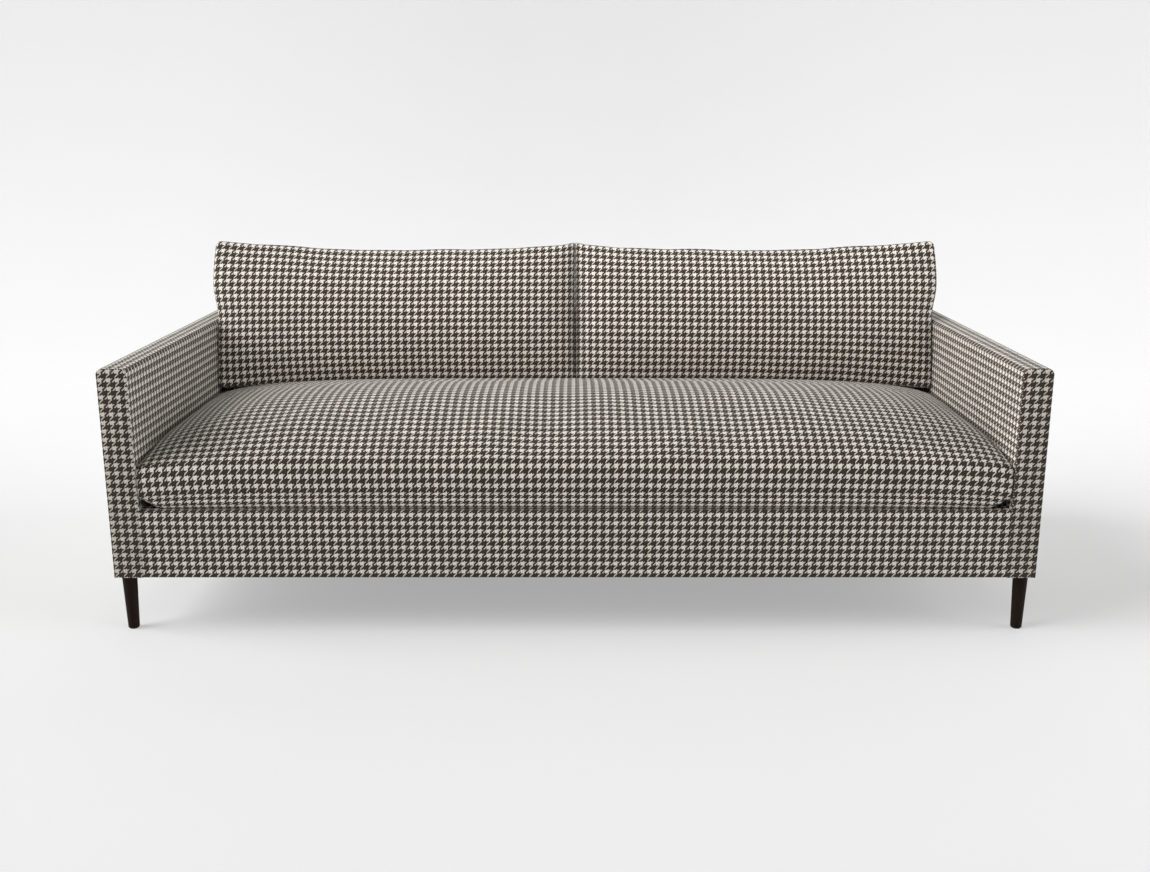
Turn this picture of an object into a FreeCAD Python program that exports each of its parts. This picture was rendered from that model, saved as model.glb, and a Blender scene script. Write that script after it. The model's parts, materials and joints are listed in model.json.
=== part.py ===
"""Four-seater sofa with track arms, one bench seat cushion and two loose back cushions.

Frame: X along the width, the front faces -Y, Z up. The origin is on the floor, in the middle of the
sofa's width and depth. Left is -X, as seen by someone who stands in front of the sofa. Millimetres.
"""
import FreeCAD
import Part
import Sketcher
import math
import os
import re

Vector = FreeCAD.Vector

# Driving sizes, in millimetres. A name that ends in share is a plain ratio.
SIZES = {
    # Whole sofa
    "overall_width": 2220,
    "overall_depth": 1015,
    "arm_height": 652,
    "arm_thickness": 70,
    "leg_height": 140,
    # Inside back: its thickness at the top, and how far it leans over a given rise
    "back_top_thickness": 70,
    "back_lean": 87.3,
    "back_rise": 340,
    # Upholstery layers
    "fabric": 1.5,
    "arm_foam": 8,
    "arm_top_foam": 12,
    "arm_top_radius": 14,
    "front_foam": 8,
    "front_roll": 12,
    "front_edge_radius": 14,
    "front_cover_depth": 60,
    "hem": 20,
    "board": 3,
    "back_foam": 20,
    "back_edge_radius": 14,
    "insulator": 11.5,
    "dust_cloth": 0.8,
    "dust_inset": 15,
    "dust_notch": 50,
    # Timber frame
    "rail_thickness": 32,
    "rail_height": 148.5,
    "post_depth": 60,
    "arm_rail_height": 40,
    "bottom_rail_height": 60,
    "stretcher_thickness": 28,
    "stretcher_height": 60,
    "stretcher_drop": 48,
    "corner_block_leg": 70,
    "corner_block_height": 80,
    "rib_thickness": 18,
    # Seat springs, their clips and tie wires
    "spring_wire": 4,
    "spring_width": 44,
    "spring_margin": 110,
    "clip_gauge": 1,
    "clip_width": 32,
    "clip_base": 13,
    "clip_lip": 9,
    "clip_offset": 4.5,
    "tie_wire": 3,
    # Back webbing
    "webbing": 2,
    "webbing_width": 60,
    # Legs and what fastens them
    "leg_inset": 25,
    "leg_setback": 31,
    "leg_top_diameter": 36,
    "leg_foot_diameter": 27,
    "glide_diameter": 22,
    "glide_height": 3,
    "bolt_diameter": 8,
    "bolt_play": 0.1,
    "bolt_in_leg": 34,
    "bolt_in_post": 24,
    "bore_overrun": 4,
    "insert_diameter": 12,
    "insert_length": 20,
    # Cushions: the gap where one rests, and the gaps beside and between them
    "rest_gap": 0.3,
    "seat_side_gap": 2.5,
    "seat_rear_gap": 2,
    "back_side_gap": 5,
    "back_middle_gap": 0.6,
    # Seat cushion, heights above the deck at its ends and what the crown adds
    "seat_front_setback": 8,
    "seat_toe": 18,
    "seat_turn_run": 156,
    "seat_low_seam": 28,
    "seat_low_seam_rise": 15,
    "seat_front_seam": 105,
    "seat_front_seam_rise": 17,
    "seat_end_middle": 118,
    "seat_middle_rise": 94.4,
    "seat_end_turn": 123,
    "seat_turn_rise": 60,
    "seat_border_bulge": 7,
    "seat_belly_bulge": 6,
    "seat_least_bulge": 1,
    "seat_corner_lift": 28,
    "seat_corner_run": 46,
    "seat_zip_run": 55,
    # Back cushions, along and square to the leaning back
    "back_cushion_thickness": 169.7,
    "back_cushion_height": 375,
    "back_horn_rise": 25,
    "back_boxing": 115,
    "back_front_bulge": 50,
    "back_top_bulge": 8,
    "back_shoulder": 110,
    "back_shoulder_bulge": 14,
    "back_boxing_drop": 6,
    "back_least_bulge": 2,
    "back_zip_rise": 75,
    "back_zip_foot": 4,
    "back_seat_depth": 80,
    "back_corner_gap": 8,
    # The fibre wrap sewn into each cover at its thinnest, and how loosely the foam core fits in it
    "wrap": 20,
    "core_play": 0.2,
    # Zips of the three cushion covers
    "seat_zip_margin": 157.5,
    "back_zip_margin": 137,
    "zip_window": 10,
    "zip_play": 0.1,
    "zip_sink": 0.2,
    "zip_chain_width": 4.4,
    "zip_chain_height": 2,
    "slider_length": 10,
    "slider_width": 10,
    "slider_height": 4,
    "slider_play": 0.3,
    "tab_length": 24,
    "tab_width": 6,
    "tab_thickness": 1.2,
    # How squarely the crowns fall away towards the ends
    "seat_crown_power_share": 4.5,
    "back_crown_power_share": 3.5,
    "back_press_share": 1.35,
    "corner_gap_start_share": 0.75,
    "seat_corner_power_share": 1.5,
    "seat_zip_height_share": 0.94,
}

SPRING_COUNT = 13
SPRING_RUNS = 16
TIE_WIRE_SHARES = (1 / 3, 2 / 3)
RIB_PITCH_SHARES = (-5.5, -2.5, 2.5, 5.5)
WEBBING_PITCH_SHARES = (-4.5, -3.5, -1.5, -0.5, 0.5, 1.5, 3.5, 4.5)
# Where a back cushion's sections stand, from its middle to its ends
STATION_SHARES = (0, 0.35, 0.6, 0.8, 0.93, 1)
# The seat cushion's extra sections, within its last corner run
END_RUN_SHARES = (0.22, 0)
SIDES = {"left": -1, "right": 1}

doc = FreeCAD.newDocument("Sofa")
sheet = doc.addObject("Spreadsheet::Sheet", "Sizes")
for row, (alias, number) in enumerate(SIZES.items(), start=1):
    sheet.set(f"A{row}", alias)
    sheet.set(f"B{row}", str(number))
    sheet.setAlias(f"B{row}", alias)
doc.recompute()

nodes = []


def formula(text):
    """The text as an expression: each size's name is read from the sheet."""
    return re.sub(r"[a-z_]+", lambda word: "Sizes." + word[0] if word[0] in SIZES else word[0], text)


def value(text):
    """What an expression gives now, as a number."""
    return float(sheet.evalExpression(formula(text)))


def bind(thing, **expressions):
    """Bind properties to the sheet; two underscores in a name stand for a dot."""
    for name, text in expressions.items():
        thing.setExpression(name.replace("__", "."), formula(text))


def keep(thing, label):
    """Give a finished sub-part its name."""
    thing.Label = label
    nodes.append(thing)
    return thing


def mirrored(low, high, side):
    """A span along X, on the left for side -1 and on the right for side 1."""
    return (low, high) if side > 0 else (f"(-{high})", f"(-{low})")


# Levels and planes that several pieces share
FRONT = "(-overall_depth / 2)"
REAR = "(overall_depth / 2)"
HALF_WIDTH = "(overall_width / 2)"
SEAT_HALF = "(overall_width / 2 - arm_thickness)"
ARM_WALL = "(fabric + arm_foam + board)"
TIMBER_OUTER = f"({HALF_WIDTH} - {ARM_WALL})"
TIMBER_INNER = f"({SEAT_HALF} + {ARM_WALL})"
FRAME_LOW = "(leg_height + fabric)"
RAIL_TOP = f"({FRAME_LOW} + rail_height)"
PAD_LOW = f"({RAIL_TOP} + 2 * clip_gauge + spring_wire)"
DECK_TOP = f"({PAD_LOW} + insulator + fabric)"
TIMBER_TOP = "(arm_height - fabric - arm_top_foam)"
TOP_RAIL_LOW = f"({TIMBER_TOP} - arm_rail_height)"
TIMBER_FRONT = f"({FRONT} + fabric + front_foam)"
TIMBER_REAR = f"({REAR} - fabric - board)"
FRONT_POST_REAR = f"({TIMBER_FRONT} + post_depth)"
REAR_POST_FRONT = f"({TIMBER_REAR} - post_depth)"
FRONT_RAIL_REAR = f"({TIMBER_FRONT} + rail_thickness)"
SPRING_PITCH = f"((2 * {SEAT_HALF} - 2 * spring_margin) / {SPRING_COUNT - 1})"


def back_plane(height, offset="0"):
    """Y of the leaning inside back at a height, offset square to it towards the rear."""
    slope = "back_lean / back_rise"
    square = f"({offset}) * sqrt(1 + ({slope}) ^ 2)"
    return f"({REAR} - back_top_thickness - (arm_height - {height}) * {slope} + {square})"


WEBBING_FACE = "fabric + back_foam"
RIB_FACE = "fabric + back_foam + webbing"
DECK_REAR = back_plane(RAIL_TOP, WEBBING_FACE)
REAR_RAIL_REAR = f"({DECK_REAR} + rail_thickness)"
INNER_LEG_REAR = back_plane(TOP_RAIL_LOW, WEBBING_FACE)


def block(x, y, z):
    """A box between two bounds along each axis."""
    box = doc.addObject("Part::Box", "Block")
    bind(box, Length=f"{x[1]} - {x[0]}", Width=f"{y[1]} - {y[0]}", Height=f"{z[1]} - {z[0]}")
    bind(box, Placement__Base__x=x[0], Placement__Base__y=y[0], Placement__Base__z=z[0])
    return box


def rod(diameter, length, x, y, z):
    """An upright cylinder that stands on a point."""
    cylinder = doc.addObject("Part::Cylinder", "Rod")
    bind(cylinder, Radius=f"({diameter}) / 2", Height=length)
    bind(cylinder, Placement__Base__x=x, Placement__Base__y=y, Placement__Base__z=z)
    return cylinder


def joined(kind, base, tool):
    """Part::Cut or Part::Fuse of two objects."""
    result = doc.addObject(f"Part::{kind}", kind)
    result.Base = base
    result.Tool = tool
    return result


def grouped(label, pieces):
    """Like pieces that share one node, each still its own solid."""
    group = doc.addObject("Part::Compound", "Group")
    group.Links = pieces
    return keep(group, label)


def polygon_sketch(body, role, points):
    """A closed outline on one of the body's origin planes, each corner placed by two expressions."""
    sketch = body.newObject("Sketcher::SketchObject", "Outline")
    plane = [item for item in body.Origin.OriginFeatures if item.Role == role][0]
    sketch.AttachmentSupport = [(plane, "")]
    sketch.MapMode = "FlatFace"
    corners = [Vector(value(u), value(v), 0) for u, v in points]
    count = len(corners)
    for number, corner in enumerate(corners):
        sketch.addGeometry(Part.LineSegment(corner, corners[(number + 1) % count]))
    for number in range(count):
        sketch.addConstraint(Sketcher.Constraint("Coincident", number, 2, (number + 1) % count, 1))
    for number, (u, v) in enumerate(points):
        for kind, text, axis in (("DistanceX", u, -2), ("DistanceY", v, -1)):
            if text == "0":
                sketch.addConstraint(Sketcher.Constraint("PointOnObject", number, 1, axis))
            else:
                place = sketch.addConstraint(Sketcher.Constraint(kind, -1, 1, number, 1, value(text)))
                sketch.setExpression(f"Constraints[{place}]", formula(text))
    return sketch


PADDED = {"YZ_Plane": "x", "XZ_Plane": "y", "XY_Plane": "z"}
IN_PLANE = {"YZ_Plane": ("y", "z"), "XZ_Plane": ("x", "z"), "XY_Plane": ("x", "y")}


def profile(role, points, start, end, rounds=()):
    """An outline padded between two bounds; rounds name a corner's place and its radius."""
    body = doc.addObject("PartDesign::Body", "Profile")
    pad = body.newObject("PartDesign::Pad", "Pad")
    pad.Profile = polygon_sketch(body, role, points)
    bind(pad, Length=f"{end} - {start}")
    pad.Reversed = role == "XZ_Plane"
    bind(body, **{f"Placement__Base__{PADDED[role]}": start})
    doc.recompute()
    last = pad
    for u, v, radius in rounds:
        wanted = (value(u), value(v))
        fillet = body.newObject("PartDesign::Fillet", "Round")
        fillet.Base = (last, [corner_edge(last.Shape, role, wanted)])
        bind(fillet, Radius=radius)
        body.Tip = fillet
        doc.recompute()
        last = fillet
    return body


def corner_edge(shape, role, wanted):
    """The name of the edge that runs along the pad at a corner of its outline."""
    across = IN_PLANE[role]
    along = PADDED[role]

    def distance(edge):
        ends = [vertex.Point for vertex in edge.Vertexes]
        if len(ends) < 2 or abs(getattr(ends[0], along) - getattr(ends[1], along)) < edge.Length / 2:
            return math.inf
        misses = [[getattr(end, axis) - at for axis, at in zip(across, wanted)] for end in ends]
        return max(math.hypot(*miss) for miss in misses)

    nearest = min(range(len(shape.Edges)), key=lambda number: distance(shape.Edges[number]))
    return f"Edge{nearest + 1}"


def timber_frame():
    """Hardwood rails, posts, stretchers, glued corner blocks and plywood back ribs."""
    low_rail = (FRAME_LOW, RAIL_TOP)
    between = (f"(-{TIMBER_INNER})", TIMBER_INNER)
    keep(block(between, (TIMBER_FRONT, FRONT_RAIL_REAR), low_rail), "front_seat_rail")
    keep(block(between, (DECK_REAR, REAR_RAIL_REAR), low_rail), "rear_seat_rail")
    bottom_rail = (FRAME_LOW, f"({FRAME_LOW} + bottom_rail_height)")
    bottom_rail_front = f"({TIMBER_REAR} - rail_thickness)"
    keep(block(between, (bottom_rail_front, TIMBER_REAR), bottom_rail), "rear_bottom_rail")
    for side, sign in SIDES.items():
        across = mirrored(TIMBER_INNER, TIMBER_OUTER, sign)
        keep(block(across, (FRONT_POST_REAR, REAR_POST_FRONT), low_rail), f"{side}_side_rail")
        keep(block(across, (TIMBER_FRONT, TIMBER_REAR), (TOP_RAIL_LOW, TIMBER_TOP)), f"{side}_arm_top_rail")
        depths = {"front": (TIMBER_FRONT, FRONT_POST_REAR), "rear": (REAR_POST_FRONT, TIMBER_REAR)}
        for end, depth in depths.items():
            post = block(across, depth, (FRAME_LOW, TOP_RAIL_LOW))
            bore = rod("insert_diameter", "insert_length + bore_overrun", *leg_axis(end, sign), FRAME_LOW)
            keep(joined("Cut", post, bore), f"{side}_{end}_post")
    for name, step in (("left", -1), ("centre", 0), ("right", 1)):
        middle = f"({step} * {SEAT_HALF} / 2)"
        across = (f"({middle} - stretcher_thickness / 2)", f"({middle} + stretcher_thickness / 2)")
        top = f"({RAIL_TOP} - stretcher_drop)"
        height = (f"({top} - stretcher_height)", top)
        keep(block(across, (FRONT_RAIL_REAR, DECK_REAR), height), f"{name}_seat_stretcher")
    blocks = []
    for depth, inward in ((FRONT_RAIL_REAR, "+"), (DECK_REAR, "-")):
        for sign in SIDES.values():
            corner = f"({sign} * {TIMBER_INNER})"
            points = [
                (corner, depth),
                (f"({corner} - {sign} * corner_block_leg)", depth),
                (corner, f"({depth} {inward} corner_block_leg)"),
            ]
            low = f"({RAIL_TOP} - corner_block_height - stretcher_drop)"
            blocks.append(profile("XY_Plane", points, low, f"({low} + corner_block_height)"))
    grouped("corner_blocks", blocks)
    top_rail = [
        (back_plane(TOP_RAIL_LOW, RIB_FACE), TOP_RAIL_LOW),
        (back_plane(TIMBER_TOP, RIB_FACE), TIMBER_TOP),
        (TIMBER_REAR, TIMBER_TOP),
        (TIMBER_REAR, TOP_RAIL_LOW),
    ]
    keep(profile("YZ_Plane", top_rail, *between), "back_top_rail")
    rib = [
        (back_plane(RAIL_TOP, RIB_FACE), RAIL_TOP),
        (back_plane(TOP_RAIL_LOW, RIB_FACE), TOP_RAIL_LOW),
        (TIMBER_REAR, TOP_RAIL_LOW),
        (TIMBER_REAR, bottom_rail[1]),
        (bottom_rail_front, bottom_rail[1]),
        (bottom_rail_front, FRAME_LOW),
        (REAR_RAIL_REAR, FRAME_LOW),
        (REAR_RAIL_REAR, RAIL_TOP),
    ]
    ribs = []
    for share in RIB_PITCH_SHARES:
        middle = f"({share} * {SPRING_PITCH})"
        bounds = (f"({middle} - rib_thickness / 2)", f"({middle} + rib_thickness / 2)")
        ribs.append(profile("YZ_Plane", rib, *bounds))
    grouped("back_ribs", ribs)


def leg_axis(end, sign):
    """X and Y of a leg's axis."""
    depth = f"({FRONT} + leg_setback)" if end == "front" else f"({REAR} - leg_setback)"
    return f"({sign} * ({HALF_WIDTH} - leg_inset))", depth


def legs():
    """Turned tapered legs, each on a bolt that screws into an insert in its post."""
    bolts, inserts, glides = [], [], []
    bore = "((bolt_diameter + bolt_play) / 2)"
    half_profile = [
        ("0", "glide_height"),
        ("(leg_foot_diameter / 2)", "glide_height"),
        ("(leg_top_diameter / 2)", "leg_height"),
        (bore, "leg_height"),
        (bore, "(leg_height - bolt_in_leg - bore_overrun)"),
        ("0", "(leg_height - bolt_in_leg - bore_overrun)"),
    ]
    for end in ("front", "rear"):
        pair = []
        for sign in SIDES.values():
            x, y = leg_axis(end, sign)
            body = doc.addObject("PartDesign::Body", "Leg")
            turning = body.newObject("PartDesign::Revolution", "Turning")
            turning.Profile = polygon_sketch(body, "XZ_Plane", half_profile)
            turning.ReferenceAxis = (turning.Profile[0], ["V_Axis"])
            bind(body, Placement__Base__x=x, Placement__Base__y=y)
            pair.append(body)
            bolt_low = "(leg_height - bolt_in_leg)"
            bolts.append(rod("bolt_diameter", "bolt_in_leg + bolt_in_post", x, y, bolt_low))
            barrel = doc.addObject("Part::Prism", "Barrel")
            bind(barrel, Circumradius="insert_diameter / 2", Height="insert_length")
            bind(barrel, Placement__Base__x=x, Placement__Base__y=y, Placement__Base__z=FRAME_LOW)
            thread = rod("bolt_diameter + bolt_play", "insert_length", x, y, FRAME_LOW)
            inserts.append(joined("Cut", barrel, thread))
            glides.append(rod("glide_diameter", "glide_height", x, y, "0"))
        grouped(f"{end}_legs", pair)
    grouped("leg_bolts", bolts)
    grouped("leg_inserts", inserts)
    grouped("leg_glides", glides)


def solid_feature(name, shape):
    """A shape made with plain functions, as an object of the document."""
    thing = doc.addObject("Part::Feature", name)
    thing.Shape = shape
    return thing


def widened(line, half):
    """The corners of a flat ribbon along a line of points, half its width to each side."""
    edges = []
    for offset in (half, -half):
        edge = []
        for number, point in enumerate(line):
            before = (point - line[max(number - 1, 0)]).normalize() if number else None
            after = (line[number + 1] - point).normalize() if number + 1 < len(line) else before
            before = before or after
            along = (before + after).normalize()
            reach = offset / along.dot(before)
            edge.append(Vector(point.x - along.y * reach, point.y + along.x * reach, 0))
        edges.append(edge)
    return edges[0] + edges[1][::-1]


def seat_springs():
    """Zigzag springs from rail to rail, each end held by a folded clip, and two tie wires across."""
    wire = value("spring_wire")
    swing = value("(spring_width - spring_wire) / 2")
    gauge = value("clip_gauge")
    width = value("clip_width")
    rail_top = value(RAIL_TOP)
    front_bend = value(f"{FRONT_RAIL_REAR} - clip_offset")
    rear_bend = value(f"{DECK_REAR} + clip_offset")
    first = front_bend - gauge - wire / 2
    last = rear_bend + gauge + wire / 2
    pitch = (last - first) / SPRING_RUNS
    line = [Vector(-swing, first, 0)]
    for run in range(SPRING_RUNS):
        side = swing if run % 2 == 0 else -swing
        y = first + run * pitch
        line += [Vector(side, y, 0), Vector(side, y + pitch, 0)]
    line.append(Vector(-line[-1].x, last, 0))
    corners = widened(line, wire / 2)
    face = Part.Face(Part.makePolygon(corners + corners[:1]))
    spring = face.extrude(Vector(0, 0, wire))

    def clip(bend, toward):
        top = wire + 2 * gauge
        base = bend - toward * value("clip_base")
        lip = bend - toward * value("clip_lip")
        inside = bend - toward * gauge
        outline = [(base, 0), (bend, 0), (bend, top), (lip, top), (lip, top - gauge), (inside, top - gauge)]
        outline += [(inside, gauge), (base, gauge), (base, 0)]
        section = Part.Face(Part.makePolygon([Vector(-width / 2, y, z) for y, z in outline]))
        return section.extrude(Vector(width, 0, 0))

    springs, clips = [], []
    for number in range(SPRING_COUNT):
        x = (number - (SPRING_COUNT - 1) / 2) * value(SPRING_PITCH)
        springs.append(spring.translated(Vector(x, 0, rail_top + gauge)))
        for bend, toward in ((front_bend, 1), (rear_bend, -1)):
            clips.append(clip(bend, toward).translated(Vector(x, 0, rail_top)))
    keep(solid_feature("Springs", Part.makeCompound(springs)), "seat_springs")
    keep(solid_feature("Clips", Part.makeCompound(clips)), "spring_clips")
    ties = []
    reach = f"({(SPRING_COUNT - 1) / 2} * {SPRING_PITCH} + spring_width / 2)"
    for share in TIE_WIRE_SHARES:
        depth = f"({FRONT_RAIL_REAR} + {share} * ({DECK_REAR} - {FRONT_RAIL_REAR}))"
        height = (f"({RAIL_TOP} + clip_gauge - tie_wire)", f"({RAIL_TOP} + clip_gauge)")
        ties.append(block((f"(-{reach})", reach), (depth, f"({depth} + tie_wire)"), height))
    grouped("spring_tie_wires", ties)


def seat_deck():
    """What lies on the springs and over the front rail: felt, foam, deck cloth and cover."""
    between = (f"(-{SEAT_HALF})", SEAT_HALF)
    roll_rear = f"({TIMBER_FRONT} + front_roll)"
    pad_top = f"({DECK_TOP} - fabric)"
    keep(block(between, (roll_rear, DECK_REAR), (PAD_LOW, pad_top)), "seat_insulator_pad")
    skin = f"({FRONT} + fabric)"
    foam = [
        (skin, FRAME_LOW),
        (skin, pad_top),
        (roll_rear, pad_top),
        (roll_rear, RAIL_TOP),
        (TIMBER_FRONT, RAIL_TOP),
        (TIMBER_FRONT, FRAME_LOW),
    ]
    inner_radius = "front_edge_radius - fabric"
    keep(profile("YZ_Plane", foam, *between, rounds=[(skin, pad_top, inner_radius)]), "front_edge_foam")
    cover_rear = f"({FRONT} + front_cover_depth)"
    hem_rear = f"({FRONT} + hem)"
    cover = [
        (hem_rear, "leg_height"),
        (FRONT, "leg_height"),
        (FRONT, DECK_TOP),
        (cover_rear, DECK_TOP),
        (cover_rear, pad_top),
        (skin, pad_top),
        (skin, FRAME_LOW),
        (hem_rear, FRAME_LOW),
    ]
    rounds = [(FRONT, DECK_TOP, "front_edge_radius"), (skin, pad_top, inner_radius)]
    keep(profile("YZ_Plane", cover, *between, rounds=rounds), "front_rail_cover")
    keep(block(between, (cover_rear, DECK_REAR), (pad_top, DECK_TOP)), "seat_deck_cloth")


def arms():
    """Each arm's boards, foam, cover and front facing."""
    for side, sign in SIDES.items():
        outer = mirrored(TIMBER_OUTER, f"({TIMBER_OUTER} + board)", sign)
        inner = mirrored(f"({TIMBER_INNER} - board)", TIMBER_INNER, sign)
        keep(block(outer, (TIMBER_FRONT, TIMBER_REAR), (FRAME_LOW, TIMBER_TOP)), f"{side}_arm_outer_board")
        keep(block(inner, (TIMBER_FRONT, INNER_LEG_REAR), (RAIL_TOP, TIMBER_TOP)), f"{side}_arm_inner_board")
        out, inside = f"({sign} * {HALF_WIDTH})", f"({sign} * {SEAT_HALF})"
        skin_out = f"({sign} * ({HALF_WIDTH} - fabric))"
        skin_in = f"({sign} * ({SEAT_HALF} + fabric))"
        cover_top = "(arm_height - fabric)"
        behind_facing = f"({FRONT} + fabric)"
        before_back = f"({REAR} - fabric)"
        hem_edge = f"({sign} * ({HALF_WIDTH} - hem))"
        section = [
            (hem_edge, "leg_height"),
            (out, "leg_height"),
            (out, "arm_height"),
            (inside, "arm_height"),
            (inside, RAIL_TOP),
            (skin_in, RAIL_TOP),
            (skin_in, cover_top),
            (skin_out, cover_top),
            (skin_out, FRAME_LOW),
            (hem_edge, FRAME_LOW),
        ]
        foam_radius = "arm_top_radius - fabric"
        rounds = [(x, "arm_height", "arm_top_radius") for x in (out, inside)]
        rounds += [(x, cover_top, foam_radius) for x in (skin_out, skin_in)]
        cover = profile("XZ_Plane", section, behind_facing, before_back, rounds)
        past_leg = mirrored(f"({SEAT_HALF} - board)", TIMBER_INNER, sign)
        gap = block(past_leg, (INNER_LEG_REAR, REAR), (FRAME_LOW, TIMBER_TOP))
        keep(joined("Cut", cover, gap), f"{side}_arm_cover")
        section = [(skin_out, FRAME_LOW), (skin_out, cover_top), (skin_in, cover_top), (skin_in, FRAME_LOW)]
        rounds = [(x, cover_top, foam_radius) for x in (skin_out, skin_in)]
        foam = profile("XZ_Plane", section, behind_facing, before_back, rounds)
        boxed = mirrored(f"({TIMBER_INNER} - board)", f"({TIMBER_OUTER} + board)", sign)
        core = block(boxed, (TIMBER_FRONT, REAR), (f"({FRAME_LOW} - board)", TIMBER_TOP))
        under_deck = block(past_leg, (TIMBER_FRONT, REAR), (f"({FRAME_LOW} - board)", RAIL_TOP))
        gap = block(past_leg, (INNER_LEG_REAR, REAR), (RAIL_TOP, TIMBER_TOP))
        foam = joined("Cut", joined("Cut", joined("Cut", foam, core), under_deck), gap)
        keep(foam, f"{side}_arm_foam")
        section = [(out, "leg_height"), (out, "arm_height"), (inside, "arm_height"), (inside, "leg_height")]
        rounds = [(x, "arm_height", "arm_top_radius") for x in (out, inside)]
        keep(profile("XZ_Plane", section, FRONT, behind_facing, rounds), f"{side}_arm_facing")


def back_upholstery():
    """Webbing, foam and cover on the leaning inside back, and the board and cover behind."""
    between = (f"(-{SEAT_HALF})", SEAT_HALF)
    strap_top = f"({TIMBER_TOP} - webbing)"
    strap = [
        (back_plane(RAIL_TOP, WEBBING_FACE), RAIL_TOP),
        (back_plane(strap_top, WEBBING_FACE), strap_top),
        (back_plane(strap_top, RIB_FACE), strap_top),
        (back_plane(RAIL_TOP, RIB_FACE), RAIL_TOP),
    ]
    straps = []
    for share in WEBBING_PITCH_SHARES:
        middle = f"({share} * {SPRING_PITCH})"
        bounds = (f"({middle} - webbing_width / 2)", f"({middle} + webbing_width / 2)")
        straps.append(profile("YZ_Plane", strap, *bounds))
    grouped("back_webbing", straps)
    skin_top = "(arm_height - fabric)"
    skin_rear = f"({REAR} - fabric)"
    foam = [
        (back_plane(DECK_TOP, "fabric"), DECK_TOP),
        (back_plane(skin_top, "fabric"), skin_top),
        (skin_rear, skin_top),
        (skin_rear, TIMBER_TOP),
        (back_plane(TIMBER_TOP, WEBBING_FACE), TIMBER_TOP),
        (back_plane(DECK_TOP, WEBBING_FACE), DECK_TOP),
    ]
    inner_radius = "back_edge_radius - fabric"
    rounds = [(back_plane(skin_top, "fabric"), skin_top, inner_radius)]
    keep(profile("YZ_Plane", foam, *between, rounds=rounds), "back_foam_pad")
    cover = [
        (back_plane(DECK_TOP), DECK_TOP),
        (back_plane("arm_height"), "arm_height"),
        (skin_rear, "arm_height"),
        (skin_rear, skin_top),
        (back_plane(skin_top, "fabric"), skin_top),
        (back_plane(DECK_TOP, "fabric"), DECK_TOP),
    ]
    rounds = [(back_plane("arm_height"), "arm_height", "back_edge_radius")] + rounds
    keep(profile("YZ_Plane", cover, *between, rounds=rounds), "inside_back_cover")
    board_half = f"({TIMBER_OUTER} + board)"
    board = block((f"(-{board_half})", board_half), (TIMBER_REAR, skin_rear), (FRAME_LOW, TIMBER_TOP))
    keep(board, "back_board")
    left, right = f"(-{HALF_WIDTH})", HALF_WIDTH
    panel = [(left, "leg_height"), (left, "arm_height"), (right, "arm_height"), (right, "leg_height")]
    rounds = [(x, "arm_height", "arm_top_radius") for x in (left, right)]
    panel = profile("XZ_Plane", panel, skin_rear, REAR, rounds)
    hem_half = f"({HALF_WIDTH} - hem)"
    hem = block((f"(-{hem_half})", hem_half), (f"({REAR} - hem)", skin_rear), ("leg_height", FRAME_LOW))
    keep(joined("Fuse", panel, hem), "outside_back_cover")


def dust_cover():
    """Black cloth under the frame, notched round the legs."""
    half, front = f"({HALF_WIDTH} - dust_inset)", f"({FRONT} + dust_inset)"
    rear = f"({REAR} - dust_inset)"
    notch_x, notch_front = f"({half} - dust_notch)", f"({front} + dust_notch)"
    notch_rear = f"({rear} - dust_notch)"
    right_side = [
        (notch_x, front),
        (notch_x, notch_front),
        (half, notch_front),
        (half, notch_rear),
        (notch_x, notch_rear),
        (notch_x, rear),
    ]
    left_side = [(f"(-{x})", y) for x, y in reversed(right_side)]
    low = "(leg_height - dust_cloth)"
    keep(profile("XY_Plane", right_side + left_side, low, "leg_height"), "dust_cover")


def crown(share, power):
    """How much of its full height a crown keeps, from 1 in the middle to 0 at the end."""
    return math.sqrt(max(0, 1 - abs(share) ** power))


def section_wire(x, corners, bulges):
    """A closed outline across X; a bulge bows the edge that starts at its corner outwards."""
    points = [Vector(x, y, z) for y, z in corners]
    edges = []
    for number, bulge in enumerate(bulges):
        start, end = points[number], points[(number + 1) % len(points)]
        if bulge == 0:
            edges.append(Part.LineSegment(start, end).toShape())
            continue
        along = (end - start).normalize()
        outward = Vector(0, -along.z, along.y)
        edges.append(Part.Arc(start, (start + end) * 0.5 + outward * bulge, end).toShape())
    return Part.Wire(edges)


def slab(low, high, corners, bulges, inset):
    """A foam slab between two X bounds: a section's corners and the middles of its bows, moved inwards."""
    places = []
    for number, ((y, z), bulge) in enumerate(zip(corners, bulges)):
        place = Vector(low, y, z)
        after = Vector(low, *corners[(number + 1) % len(corners)])
        places.append(place)
        if bulge:
            along = (after - place).normalize()
            places.append((place + after) * 0.5 + Vector(0, -along.z, along.y) * bulge)
    inner = []
    for number, place in enumerate(places):
        before = (place - places[number - 1]).normalize()
        after = (places[(number + 1) % len(places)] - place).normalize()
        inward = Vector(0, before.z + after.z, -before.y - after.y)
        inner.append(place + inward * (inset / (1 + before.dot(after))))
    outline = Part.makePolygon(inner + inner[:1])
    return Part.Face(outline).extrude(Vector(high - low, 0, 0))


def lofted(wires):
    """A closed skin of flat and singly curved strips through the outlines."""
    return Part.makeLoft(wires, True, True)


RAKE = math.atan2(value("back_lean"), value("back_rise"))
SEAT_END = value(SEAT_HALF) - value("seat_side_gap")
BACK_OUTER = value(SEAT_HALF) - value("back_side_gap")
BACK_INNER = value("back_middle_gap") / 2
BACK_MIDDLE = (BACK_OUTER + BACK_INNER) / 2
BACK_REACH = (BACK_OUTER - BACK_INNER) / 2
DECK = value(DECK_TOP)
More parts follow.
